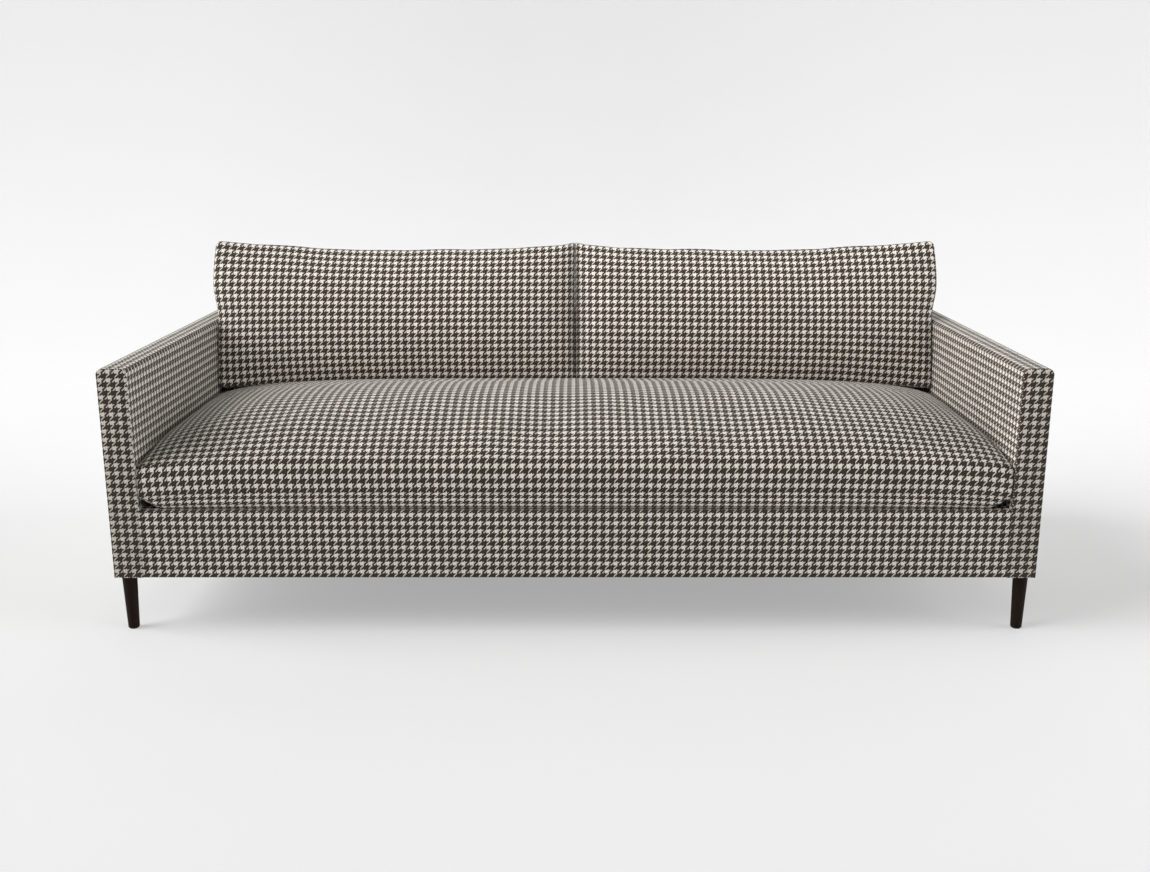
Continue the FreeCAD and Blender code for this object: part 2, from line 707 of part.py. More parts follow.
# Where the seat's slope starts, and where the plane of its rear face meets the floor
TURN = value(back_plane(DECK_TOP)) - value("seat_turn_run")
REAR_FOOT = value(back_plane("0")) - value("seat_rear_gap") / math.cos(RAKE)


def rest_line(x):
    """Height of the seat's crown where its slope under the back cushions starts."""
    rise = crown(x / SEAT_END, value("seat_crown_power_share"))
    return DECK + value("seat_end_turn") + value("seat_turn_rise") * rise


def seat_rear(x):
    """Y and Z of the corner where the seat cushion's slope meets its leaning rear face."""
    slope = math.tan(RAKE)
    crest = rest_line(x)
    y = (REAR_FOOT + slope * (crest + TURN * slope)) / (1 + slope ** 2)
    return y, crest - (y - TURN) * slope


def seat_corners(x):
    """The seat cushion's section at x: its corners as Y and Z, and how its edges bow."""
    rise = crown(x / SEAT_END, value("seat_crown_power_share"))
    front = value(f"{FRONT} + seat_front_setback")
    lift = max(0, 1 - (SEAT_END - abs(x)) / value("seat_corner_run")) ** value("seat_corner_power_share")
    bottom = DECK + value("rest_gap") + value("seat_corner_lift") * lift
    seam = DECK + value("seat_front_seam") + value("seat_front_seam_rise") * rise
    low_seam = DECK + value("seat_low_seam") + value("seat_low_seam_rise") * rise
    middle = DECK + value("seat_end_middle") + value("seat_middle_rise") * rise
    crest = rest_line(x)
    slope = math.tan(RAKE)
    facet = DECK + value("seat_zip_height_share") * (seat_rear(SEAT_END)[1] - DECK)
    corners = [
        (front, low_seam),
        (front, seam),
        (TURN, crest),
        seat_rear(x),
        (REAR_FOOT + slope * facet, facet),
        (REAR_FOOT + slope * bottom - value("seat_zip_run"), bottom),
        (value(f"{FRONT} + seat_toe"), bottom),
    ]
    chord = math.hypot(TURN - front, crest - seam)
    bow = (middle - (seam + crest) / 2) * (TURN - front) / chord
    belly = value("seat_least_bulge") + value("seat_belly_bulge") * rise
    return corners, [value("seat_border_bulge"), bow, 0, 0, 0, 0, belly]


def mirrored_shares(shares):
    """The shares on both sides of a middle."""
    return [-share for share in reversed(shares[1:])] + list(shares)


def seat_stations():
    """Where the seat cushion's sections stand: under each section of the back cushions, and its ends."""
    under = [BACK_MIDDLE + sign * BACK_REACH * share for share in STATION_SHARES[:-1] for sign in (-1, 1)]
    ends = [SEAT_END - value("seat_corner_run") * share for share in END_RUN_SHARES]
    right = sorted(set(under) | set(ends))
    return [-x for x in reversed(right)] + right


def back_corners(x):
    """A back cushion's section at x > 0, as Y and Z, and how its edges bow."""
    share = (x - BACK_MIDDLE) / BACK_REACH
    swell = crown(share, value("back_crown_power_share"))
    full = value("back_cushion_thickness")
    boxing = value("back_boxing")
    pressed = boxing + (full - boxing) * min(1, value("back_press_share") * swell)
    top = value("back_cushion_height") + value("back_horn_rise") * share ** 2
    start = value("corner_gap_start_share")
    outer = max(0, abs(x) / SEAT_END - start) / (1 - start)
    gap = value("rest_gap") + value("back_corner_gap") * outer ** 2
    foot = (rest_line(x) - rest_line(0)) * math.cos(RAKE) + gap
    local = [
        (0, foot),
        (0, top),
        (boxing, top - value("back_boxing_drop")),
        (pressed, top - value("back_shoulder")),
        (pressed, value("back_zip_rise")),
        (boxing, value("back_zip_foot")),
        (value("back_seat_depth"), foot),
    ]
    least = value("back_least_bulge")
    bulges = [
        least + value("back_front_bulge") * swell,
        least + value("back_top_bulge") * swell,
        least + value("back_shoulder_bulge") * swell,
        0,
        0,
        0,
        0,
    ]
    return local, bulges


def lean(corners):
    """Turn places square to and along the back into Y and Z."""
    slope, cos, sin = math.tan(RAKE), math.cos(RAKE), math.sin(RAKE)
    reach = (value("back_cushion_thickness") + value("rest_gap")) / cos
    crest = rest_line(0)
    y = (value(back_plane("0")) + slope * crest + TURN * slope ** 2 - reach) * cos ** 2
    z = crest - (y - TURN) * slope
    return [(y + deep * cos + along * sin, z - deep * sin + along * cos) for deep, along in corners]


def seat_shape():
    """The seat cushion's outer form."""
    return lofted([section_wire(x, *seat_corners(x)) for x in seat_stations()])


def seat_core(play):
    """The foam slab inside the seat cushion, as thick as the cushion lets it be beside its corners."""
    reach = SEAT_END - value("seat_corner_run")
    corners, bulges = seat_corners(reach)
    del corners[-3], bulges[-3]
    return slab(play - reach, reach - play, corners, bulges, value("wrap") + play)


def back_shape():
    """A right back cushion's outer form."""
    wires = []
    for share in mirrored_shares(STATION_SHARES):
        x = BACK_MIDDLE + BACK_REACH * share
        corners, bulges = back_corners(x)
        wires.append(section_wire(x, lean(corners), bulges))
    return lofted(wires)


def back_core(play):
    """The foam slab inside a right back cushion, as high as the cushion's middle lets it be."""
    reach = BACK_REACH * STATION_SHARES[-2]
    corners, bulges = back_corners(BACK_MIDDLE + reach)
    lowest, highest = value("rest_gap"), value("back_cushion_height")
    corners = [(deep, min(max(along, lowest), highest)) for deep, along in corners]
    ends = (BACK_MIDDLE - reach + play, BACK_MIDDLE + reach - play)
    return slab(*ends, lean(corners), bulges, value("wrap") + play)


SEAT_ZIP = 2 * (SEAT_END - value("seat_zip_margin"))
BACK_ZIP = 2 * (BACK_REACH - value("back_zip_margin"))


def facet_place(x, upper, lower):
    """The frame in the middle of a zip's facet: along X, across the facet, and out of it."""
    angle = math.degrees(math.atan2(lower[1] - upper[1], lower[0] - upper[0]))
    middle = Vector(x, (upper[0] + lower[0]) / 2, (upper[1] + lower[1]) / 2)
    return FreeCAD.Placement(middle, FreeCAD.Rotation(Vector(1, 0, 0), angle))


def centred(length, width, low, high, x=0):
    """A box centred along and across a zip, between two heights over its facet."""
    return Part.makeBox(length, width, high - low, Vector(x - length / 2, -width / 2, low))


def zip_parts(length):
    """A zip's window cutter, its tape with the chain, and its slider at the chain's right end."""
    fabric = value("fabric")
    sink = value("zip_sink")
    window = value("zip_window")
    chain_top = value("zip_chain_height") - sink
    cutter = centred(length, window, -fabric, fabric)
    tape = centred(length - 2 * value("zip_play"), window - 2 * value("zip_play"), -fabric, -sink)
    chain = centred(length - window, value("zip_chain_width"), -sink, chain_top)
    tape = tape.fuse(chain)
    width, long = value("slider_width"), value("slider_length")
    play, height = value("slider_play"), value("slider_height")
    x = (length - window) / 2 - long
    saddle = centred(long, width, play, height, x)
    saddle = saddle.cut(centred(2 * long, value("zip_chain_width") + 2 * play, 0, chain_top + play, x))
    tab_length = value("tab_length")
    tab_x = x + long / 2 - tab_length / 2
    tab = centred(tab_length, value("tab_width"), height, height + value("tab_thickness"), tab_x)
    return cutter, tape, saddle.fuse(tab)


def zip_travel(length):
    """How far a slider runs from the right end of its chain to the left end."""
    return length - value("zip_window") - 2 * value("slider_length")


def cushion(name, outer, inner, core, place, zip_length):
    """One cushion as its cover with the wrap in it, its foam core, its zip's tape and its slider."""
    cutter, tape, slider = [shape.copy() for shape in zip_parts(zip_length)]
    for shape in (cutter, tape, slider):
        shape.Placement = place
    keep(solid_feature("Cover", outer.cut(inner).cut(cutter)), f"{name}_cover")
    keep(solid_feature("Core", core), f"{name}_core")
    keep(solid_feature("Tape", tape), f"{name}_zip_tape")
    keep(solid_feature("Slider", slider), f"{name}_zip_slider")


def cushions():
    """The bench seat cushion and the pair of loose back cushions that stand on it."""
    play = value("core_play")
    upper, lower = seat_corners(0)[0][-3:-1]
    place = facet_place(0, upper, lower)
    cushion("seat_cushion", seat_shape(), seat_core(0), seat_core(play), place, SEAT_ZIP)
    forms = [back_shape(), back_core(0), back_core(play)]
    upper, lower = lean(back_corners(BACK_MIDDLE)[0][-3:-1])
    for side, sign in SIDES.items():
        placed = [form if sign > 0 else form.mirror(Vector(0, 0, 0), Vector(1, 0, 0)) for form in forms]
        place = facet_place(sign * BACK_MIDDLE, upper, lower)
        cushion(f"{side}_back_cushion", *placed, place, BACK_ZIP)


timber_frame()
legs()
seat_springs()
seat_deck()
arms()
back_upholstery()
dust_cover()
cushions()
doc.recompute()

faults = [thing.Label for thing in doc.Objects if {"Invalid", "Error"} & set(thing.State)]
faults += [thing.Label for thing in nodes if thing.Shape.isNull() or not thing.Shape.isValid()]
if faults:
    raise RuntimeError(f"These objects failed: {faults}")

os.makedirs("parts", exist_ok=True)
for thing in nodes:
    thing.Shape.exportStep(f"parts/{thing.Label}.step")
print(len(nodes), "nodes written")
print("Seat zip travel", round(zip_travel(SEAT_ZIP), 3))
print("Back zip travel", round(zip_travel(BACK_ZIP), 3))
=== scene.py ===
# %% [markdown]
# # A four-seater sofa in houndstooth
# The sofa is a timber frame on four peg legs, upholstered all over in one woven cloth, with a
# bench seat cushion and two back cushions lying loose on it. The frame, springs, screws and legs
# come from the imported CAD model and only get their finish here. Everything soft is made anew,
# because cloth and filling never look right as plain solids.

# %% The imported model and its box
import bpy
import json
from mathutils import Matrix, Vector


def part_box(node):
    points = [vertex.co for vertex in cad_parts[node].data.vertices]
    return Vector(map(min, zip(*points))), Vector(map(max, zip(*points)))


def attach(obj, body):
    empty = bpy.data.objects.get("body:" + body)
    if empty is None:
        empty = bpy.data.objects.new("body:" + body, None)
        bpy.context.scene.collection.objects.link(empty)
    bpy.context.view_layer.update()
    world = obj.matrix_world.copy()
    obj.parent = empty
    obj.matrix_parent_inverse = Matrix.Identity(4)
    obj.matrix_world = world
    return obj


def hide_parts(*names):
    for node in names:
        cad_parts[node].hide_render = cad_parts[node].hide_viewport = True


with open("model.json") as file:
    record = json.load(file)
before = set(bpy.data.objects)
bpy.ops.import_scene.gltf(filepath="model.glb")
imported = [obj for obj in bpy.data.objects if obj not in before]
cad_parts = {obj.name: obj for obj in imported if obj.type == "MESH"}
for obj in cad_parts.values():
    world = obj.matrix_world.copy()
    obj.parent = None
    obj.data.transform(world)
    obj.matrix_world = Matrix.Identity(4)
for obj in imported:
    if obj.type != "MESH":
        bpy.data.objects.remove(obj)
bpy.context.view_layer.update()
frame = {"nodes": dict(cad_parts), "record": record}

import json
import math
import bpy
import numpy as np
from mathutils import Vector

# %% [markdown]
# ## The camera
# The photograph was taken from straight in front, a little above the cushions, with a short
# normal lens. Place, tilt and lens were worked out from the edges of the rail, arms and legs.

# %% Camera
CAMERA_PLACE = (0, -3.3363, 1.1874)
CAMERA_LENS, CAMERA_TILT = 38.91, 13.81


def camera():
    """The camera, from the photograph's viewing angle."""
    data = bpy.data.cameras.new("camera")
    data.lens = CAMERA_LENS
    data.sensor_width = 36
    made = bpy.data.objects.new("camera", data)
    made.location = CAMERA_PLACE
    made.rotation_euler = (math.radians(90 - CAMERA_TILT), 0, 0)
    bpy.context.scene.collection.objects.link(made)
    bpy.context.scene.camera = made
    print("camera at", CAMERA_PLACE, "with a lens of", CAMERA_LENS, "mm")


camera()

# %% [markdown]
# ## Colours and nodes
# Colours are picked as sRGB hex codes, but light is added up in linear values, so one function
# turns the one into the other. A second small function adds a node, with its settings and its
# links, and a third one adds a step of arithmetic with it.

# %% Helpers for materials
def linear(code):
    """Blender's linear colour for an sRGB hex code."""
    parts = [int(code[i:i + 2], 16) / 255 for i in (1, 3, 5)]
    return [p / 12.92 if p <= 0.04045 else ((p + 0.055) / 1.055) ** 2.4 for p in parts] + [1]


def add(tree, kind, inputs=(), **settings):
    """Adds a node; an input is a value, a socket, or a node whose first output is taken."""
    node = tree.nodes.new("ShaderNode" + kind)
    for name, setting in settings.items():
        setattr(node, name, setting)
    for key, value in dict(inputs).items():
        if isinstance(value, bpy.types.Node):
            value = value.outputs[0]
        if isinstance(value, bpy.types.NodeSocket):
            tree.links.new(value, node.inputs[key])
        else:
            node.inputs[key].default_value = value
    return node


def sums(tree, operation, *values):
    """Adds one step of arithmetic on values or nodes."""
    return add(tree, "Math", dict(enumerate(values)), operation=operation)


def material(name):
    """An empty material and its node tree."""
    made = bpy.data.materials.new(name)
    made.use_nodes = True
    made.node_tree.nodes.clear()
    print("material", name)
    return made, made.node_tree


def finish_material(tree, colour, roughness, height=None, depth=0, **sockets):
    """The shader at the end of a material, with its relief as bump, depth metres deep."""
    inputs = {"Base Color": colour, "Roughness": roughness}
    inputs.update({name.replace("_", " "): value for name, value in sockets.items()})
    if height is not None:
        inputs["Normal"] = add(tree, "Bump", {"Strength": 1, "Distance": depth, "Height": height})
    add(tree, "OutputMaterial", {0: add(tree, "BsdfPrincipled", inputs)})


# %% [markdown]
# ## The houndstooth
# Houndstooth is a two-and-two twill with four dark and four light threads in turn, both ways.
# The material does the same: it counts threads along and across the piece's own UV map, which is
# in metres of cloth, and takes the colour of the thread on top. Threads are about 2.5 mm thick
# here, and rounded, which the bump shows from near by.

# %% Woven houndstooth
THREAD = 0.00254
# The twill repeats after four threads and the check after eight; dark yarn swells a little
TWILL, CHECK = 4, 8
DARK_SHARE, DARK_FLOAT = 0.565, 0.69
# Shade differs over about 70 mm, and between fibres at about the width of a thread (per metre)
CLOUDS, FLECKS = 14, 420
# Where the twill starts in the check: at two threads, each light tooth points down to the left
TWILL_START = 2


def houndstooth(name, thread, dark, light):
    """Woven wool blend: matte, with a soft sheen from its fibres."""
    made, tree = material(name)
    uv = add(tree, "UVMap", uv_map="cloth")
    place = add(tree, "SeparateXYZ", {0: uv})
    along, across = [sums(tree, "DIVIDE", place.outputs[axis], thread) for axis in (0, 1)]
    end = sums(tree, "FLOOR", along)
    float_place = sums(tree, "SUBTRACT", end, across)
    float_place = sums(tree, "ADD", float_place, TWILL_START)
    float_place = sums(tree, "FLOORED_MODULO", float_place, TWILL)
    warp_up = sums(tree, "LESS_THAN", float_place, TWILL / 2)
    darks, rounds = [], []
    for count in (along, across):
        turn = sums(tree, "FLOORED_MODULO", count, CHECK)
        darks.append(sums(tree, "LESS_THAN", turn, CHECK * DARK_SHARE))
        part = sums(tree, "FLOORED_MODULO", count, 1)
        part = sums(tree, "SUBTRACT", part, 0.5)
        part = sums(tree, "MULTIPLY", part, part)
        rounds.append(sums(tree, "SUBTRACT", 1, part))
    light_float = sums(tree, "MULTIPLY_ADD", darks[0], 2, float_place)
    light_float = sums(tree, "FLOORED_MODULO", light_float, TWILL)
    off_middle = sums(tree, "SUBTRACT", light_float, 1)
    off_middle = sums(tree, "ABSOLUTE", off_middle)
    dark_float = sums(tree, "GREATER_THAN", off_middle, 2 - 2 * DARK_FLOAT)
    both = sums(tree, "ADD", darks[0], darks[1])
    both = sums(tree, "ADD", both, dark_float)
    shade = sums(tree, "LESS_THAN", both, 1.5)
    height = add(tree, "Mix", {0: warp_up, 2: rounds[1], 3: rounds[0]})
    spot = add(tree, "TexCoord").outputs["Object"]
    cloud = add(tree, "TexNoise", {"Vector": spot, "Scale": CLOUDS, "Detail": 3})
    fleck = add(tree, "TexNoise", {"Vector": spot, "Scale": FLECKS, "Detail": 2})
    wool = add(tree, "Mix", {0: shade, 6: linear(dark), 7: linear(light)}, data_type="RGBA")
    grey = add(tree, "MapRange", {0: cloud, 1: 0.3, 2: 0.7, 3: 0.94, 4: 1.06})
    yarn = add(tree, "MapRange", {0: fleck, 1: 0.3, 2: 0.7, 3: 0.86, 4: 1.14})
    tone = sums(tree, "MULTIPLY", grey, yarn)
    wool = add(tree, "VectorMath", {0: wool.outputs[2], "Scale": tone}, operation="SCALE")
    finish_material(tree, wool, 0.85, height, 0.0006, Specular_IOR_Level=0.25, Sheen_Weight=0.12,
                    Sheen_Roughness=0.5)
    return made


CLOTH = houndstooth("woven_houndstooth", THREAD, "#382E25", "#E2DCD2")
# The arm front panels get a copy of the same cloth with both yarns darker: painted shade on the arm fronts
SHADED_PANEL_CLOTH = houndstooth("woven_houndstooth_arm_panels_painted_shade", THREAD, "#352B23", "#CBC5BA")
BACK_CLOTH = houndstooth("woven_houndstooth_back_cushions", THREAD * 1.03, "#382E25", "#E2DCD2")

# %% [markdown]
# ## Plain cloths, webbing and zip tape
# A black spun cloth closes the sofa from below, and a plain dark cotton covers the deck under the
# cushion. Both are seen only from below or with the cushion lifted. Two crossed waves make their
# threads, 1.6 mm apart because finer ones would not show, 1.2 on zip tape and 2.5 on webbing.

# %% Plain weaves
# Blender's wave texture has one band in this many metres at scale 1
WAVE_BAND = 0.314


def plain_weave(name, colour, other, pitch, depth):
    """Plain woven cloth: matte, crossed by fine threads."""
    made, tree = material(name)
    uv = add(tree, "UVMap", uv_map="cloth")
    waves = []
    for axis in ("X", "Y"):
        waves.append(add(tree, "TexWave", {"Vector": uv, "Scale": WAVE_BAND / pitch, "Distortion": 0.6},
                         bands_direction=axis))
    height = sums(tree, "MAXIMUM", waves[0].outputs[1], waves[1].outputs[1])
    wool = add(tree, "Mix", {0: height, 6: linear(other), 7: linear(colour)}, data_type="RGBA")
    finish_material(tree, wool.outputs[2], 0.9, height, depth, Specular_IOR_Level=0.2)
    return made


DECK_CLOTH = plain_weave("cotton_deck_cloth", "#38332D", "#1E1B18", 0.0016, 0.0003)
DUST_CLOTH = plain_weave("spun_dust_cloth", "#191818", "#0D0D0D", 0.0016, 0.0002)
WEBBING = plain_weave("woven_elastic_webbing", "#8A7A5C", "#5A4C36", 0.0025, 0.0006)
TAPE = plain_weave("woven_zip_tape", "#2E2A25", "#1B1815", 0.0012, 0.0003)

# %% [markdown]
# ## Wood, metal and nylon
# The hidden frame is planed hardwood and plywood, left raw. The legs are turned and stained
# nearly black under a dull lacquer, so that they show a faint highlight and hardly any grain.
# Grain is noise drawn out along the piece.

# %% Hard materials
def wood(name, pale, deep, grain, roughness, squeeze):
    """Wood with its grain drawn out along one axis."""
    made, tree = material(name)
    spot = add(tree, "TexCoord")
    turned = add(tree, "Mapping", {"Vector": spot.outputs["Object"], "Scale": squeeze})
    rings = add(tree, "TexNoise", {"Vector": turned, "Scale": 1 / grain, "Detail": 6, "Distortion": 0.8})
    pores = add(tree, "TexNoise", {"Vector": turned, "Scale": 5 / grain, "Detail": 2})
    both = sums(tree, "MULTIPLY", rings, pores)
    share = add(tree, "MapRange", {0: both, 1: 0.15, 2: 0.38})
    colour = add(tree, "Mix", {0: share, 6: linear(deep), 7: linear(pale)}, data_type="RGBA")
    finish_material(tree, colour.outputs[2], roughness, both, 0.0003, Specular_IOR_Level=0.12)
    return made


ALONG = [(0.06, 1, 1), (1, 0.06, 1), (1, 1, 0.06)]
HARDWOOD = [
    wood("planed_hardwood_" + axis, "#C9A26F", "#9C7445", 0.012, 0.6, squeeze)
    for axis, squeeze in zip("xyz", ALONG)
]
PLYWOOD = wood("sanded_plywood", "#CDB184", "#A98A5B", 0.02, 0.65, ALONG[1])
LEG_WOOD = wood("stained_lacquered_leg", "#23140B", "#150A05", 0.006, 0.6, ALONG[2])


def metal(name, colour, roughness, grain, depth):
    """Bare or plated metal with a faint grain."""
    made, tree = material(name)
    spot = add(tree, "TexCoord")
    noise = add(tree, "TexNoise", {"Vector": spot.outputs["Object"], "Scale": 1 / grain, "Detail": 3})
    shine = add(tree, "MapRange", {0: noise, 3: roughness - 0.08, 4: roughness + 0.08})
    finish_material(tree, linear(colour), shine, noise, depth, Metallic=1)
    return made


SPRING_STEEL = metal("oil_tempered_spring_steel", "#6E6C6B", 0.42, 0.004, 0.0001)
ZINC = metal("zinc_plated_steel", "#B9BBBC", 0.36, 0.006, 0.0001)
ZIP_METAL = metal("die_cast_antique_brass", "#7C6440", 0.34, 0.002, 0.00005)


def moulded(name, colour, roughness):
    """Moulded nylon: faintly pebbled and dull."""
    made, tree = material(name)
    spot = add(tree, "TexCoord")
    noise = add(tree, "TexNoise", {"Vector": spot.outputs["Object"], "Scale": 900, "Detail": 2})
    finish_material(tree, linear(colour), roughness, noise, 0.0002)
    return made


NYLON = moulded("moulded_nylon_glide", "#262626", 0.55)

# %% [markdown]
# ### Finishes of the frame's own pieces
# What the CAD model shapes right keeps its mesh and only gets its finish. Timber is sawn along its
# grain, so the grain runs along the longest side of a rail or post, and upright in the blocks.

# %% Finishes of the frame's own pieces
FINISH_OF = {
    "plywood": PLYWOOD, "leg_wood": LEG_WOOD, "spring_steel": SPRING_STEEL, "zinc_steel": ZINC,
    "glide_nylon": NYLON, "zip_metal": ZIP_METAL,
}
finished = []
for part in frame["record"]["subparts"]:
    node, finish = part["node"], FINISH_OF.get(part["material_slot"])
    if part["material_slot"] == "hardwood":
        low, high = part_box(node)
        finish = HARDWOOD[2 if node == "corner_blocks" else np.argmax(np.subtract(high, low))]
    if finish:
        for place in frame["nodes"][node].material_slots:
            place.material = finish
        finished.append(node)
print(len(finished), "CAD nodes have their finish")

# %% [markdown]
# ## Cloth that follows its piece
# A cloth pattern only looks woven when it runs with the piece, round its edges too. Each piece
# gets its own UV map, named cloth, in metres of cloth. Where a cover is wrapped round an edge, the
# map unrolls it: it reads the length along the piece one way, and round its section the other.

# %% Unrolling a cover
def rounded(corners, radii, steps=8):
    """A section's outline with some corners rounded, as close points."""
    points = []
    for number, corner in enumerate(corners):
        radius = radii.get(number, 0)
        corner = np.array(corner, float)
        if not radius:
            points.append(corner)
            continue
        before = np.array(corners[number - 1], float) - corner
        after = np.array(corners[number + 1], float) - corner
        before, after = before / np.linalg.norm(before), after / np.linalg.norm(after)
        half = math.acos(float(np.clip(before @ after, -1, 1))) / 2
        run = radius / math.tan(half)
        start, end = corner + before * run, corner + after * run
        middle = (before + after) / np.linalg.norm(before + after)
        centre = corner + middle * radius / math.sin(half)
        for step in range(steps + 1):
            share = step / steps
            way = start * (1 - share) + end * share - centre
            points.append(centre + way / np.linalg.norm(way) * radius)
    return np.array(points)


def lengths(path):
    """The length along a path to each of its points."""
    return np.concatenate([[0], np.cumsum(np.linalg.norm(np.diff(path, axis=0), axis=1))])


def length_at(path, place):
    """The length along a path to its point nearest to a place."""
    starts, steps = path[:-1], np.diff(path, axis=0)
    share = ((place - starts) * steps).sum(1) / np.maximum((steps ** 2).sum(1), 1e-12)
    share = np.clip(share, 0, 1)
    near = np.argmin(np.linalg.norm(starts + steps * share[:, None] - place, axis=1))
    return lengths(path)[near] + share[near] * np.linalg.norm(steps[near])


def map_cloth(piece, where):
    """Writes the cloth map: where turns a vertex's place into lengths along and across."""
    mesh = piece.data
    layer = mesh.uv_layers.new(name="cloth")
    spots = [where(np.array(vertex.co)) for vertex in mesh.vertices]
    for loop in mesh.loops:
        layer.data[loop.index].uv = spots[loop.vertex_index]


# %% [markdown]
# ## The upholstered frame
# Arms, front rail and back are boards under a thin foam, with the cloth pulled tight over them.
# Each starts as a cube of its size. Its long edges are rounded with a bevel, the sides that no
# one sees are deleted, and the skin is given the thickness of the cloth inwards.

# %% Helpers for modelling in edit mode
def begin_cube(name, low, high):
    """A cube from corner to corner, selected alone."""
    bpy.ops.object.select_all(action="DESELECT")
    middle = [(a + b) / 2 for a, b in zip(low, high)]
    bpy.ops.mesh.primitive_cube_add(size=1, location=middle)
    piece = bpy.context.object
    piece.name = piece.data.name = name
    piece.scale = [b - a for a, b in zip(low, high)]
    bpy.ops.object.transform_apply()
    return piece


def select(piece, kind, chosen):
    """Selects in edit mode the edges or faces that a test on their middle picks."""
    bpy.ops.object.mode_set(mode="EDIT")
    bpy.ops.mesh.select_mode(type=kind)
    bpy.ops.mesh.select_all(action="DESELECT")
    bpy.ops.object.mode_set(mode="OBJECT")
    mesh = piece.data
    for part in mesh.edges if kind == "EDGE" else mesh.polygons:
        corners = part.vertices
        middle = sum((mesh.vertices[i].co for i in corners), Vector()) / len(corners)
        part.select = bool(chosen(middle))
    bpy.ops.object.mode_set(mode="EDIT")


def near(a, b, reach=0.0005):
    """Whether two lengths are the same within a reach, half a millimetre if none is given."""
    return abs(a - b) < reach


def bevel(piece, kind, chosen, offset, segments=8):
    """Rounds the edges, or the edges of the faces, that a test picks."""
    select(piece, kind, chosen)
    bpy.ops.mesh.bevel(offset=offset, segments=segments, affect="EDGES")


def cut_away(piece, chosen):
    """Deletes the faces that a test picks."""
    select(piece, "FACE", chosen)
    bpy.ops.mesh.delete(type="FACE")


def only(piece):
    """Selects one piece alone and makes it the active one."""
    bpy.ops.object.select_all(action="DESELECT")
    bpy.context.view_layer.objects.active = piece
    piece.select_set(True)


def modify(piece, kind, **settings):
    """Gives a piece one modifier and applies it."""
    made = piece.modifiers.new(kind, kind)
    for name, setting in settings.items():
        setattr(made, name, setting)
    only(piece)
    bpy.ops.object.modifier_apply(modifier=made.name)


def settle(piece, cloth, body, nodes):
    """Gives a piece its material, the body it rides on and the CAD nodes whose place it takes."""
    piece.data.materials.clear()
    piece.data.materials.append(cloth)
    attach(piece, body)
    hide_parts(*nodes)
    print(piece.name, len(piece.data.polygons), "faces")


def finish_skin(piece, thickness, cloth, where, nodes):
    """Gives a cover its thickness inwards, its cloth map and its place on the frame."""
    bpy.ops.object.mode_set(mode="OBJECT")
    if thickness:
        modify(piece, "SOLIDIFY", thickness=thickness, offset=-1)
    bpy.ops.object.shade_smooth_by_angle(angle=math.radians(40))
    map_cloth(piece, where)
    settle(piece, cloth, "root", nodes)


# %% [markdown]
# ### Arms
# A track arm is a sleeve of cloth over two boards, closed in front by a panel that is sewn in with
# a soft edge. The sleeve's pattern runs over the top without a break.

# %% Arms
HALF_WIDTH, SEAT_HALF = 1.11, 1.04
FRONT, REAR = -0.5075, 0.5075
LEG_HEIGHT, ARM_HEIGHT, DECK = 0.14, 0.652, 0.309
ARM_RADIUS, SKIN = 0.014, 0.0015
SIDES = (("left", -1), ("right", 1))


def arm(side, sign):
    """One arm's cover: a sleeve over boards and foam, open to the frame below."""
    outer, inner = sign * HALF_WIDTH, sign * SEAT_HALF
    low = (min(outer, inner), FRONT + SKIN, LEG_HEIGHT)
    high = (max(outer, inner), REAR - SKIN, ARM_HEIGHT)
    piece = begin_cube(f"{side}_arm_upholstery", low, high)
    bevel(piece, "EDGE", lambda m: near(m.y, 0, 0.01) and near(m.z, ARM_HEIGHT), ARM_RADIUS)
    cut_away(piece, lambda m: near(m.z, LEG_HEIGHT) or near(abs(m.y), REAR - SKIN))
    section = [(outer, LEG_HEIGHT), (outer, ARM_HEIGHT), (inner, ARM_HEIGHT), (inner, LEG_HEIGHT)]
    path = rounded(section, {1: ARM_RADIUS, 2: ARM_RADIUS})
    finish_skin(piece, SKIN, CLOTH,
                lambda p: (sign * p[1], length_at(path, p[[0, 2]])),
                [f"{side}_arm_cover", f"{side}_arm_foam"])


def facing(side, sign, proud=0.003):
    """The panel on an arm's front, with its edge turned softly back onto the arm."""
    outer, inner = sign * HALF_WIDTH, sign * SEAT_HALF
    low = (min(outer, inner), FRONT - proud, LEG_HEIGHT)
    high = (max(outer, inner), FRONT + SKIN, ARM_HEIGHT)
    piece = begin_cube(f"{side}_arm_front_panel", low, high)
    middle = (low[1] + high[1]) / 2
    bevel(piece, "EDGE", lambda m: near(m.y, middle) and near(m.z, ARM_HEIGHT), ARM_RADIUS)
    bevel(piece, "FACE", lambda m: near(m.y, FRONT - proud), proud, 4)
    # The panel's cloth is the darker copy of the houndstooth: painted shade
    finish_skin(piece, 0, SHADED_PANEL_CLOTH, lambda p: (p[0], p[2]), [f"{side}_arm_facing"])


for side, sign in SIDES:
    arm(side, sign)
    facing(side, sign)

# %% [markdown]
# ### Front rail
# The rail's cloth is stapled under the frame and pulled up over the foam edge. Only its front and
# the round edge show.

# %% Front rail
RAIL_RADIUS, FOOT_RADIUS, ROLLED_OVER = 0.012, 0.003, 0.06


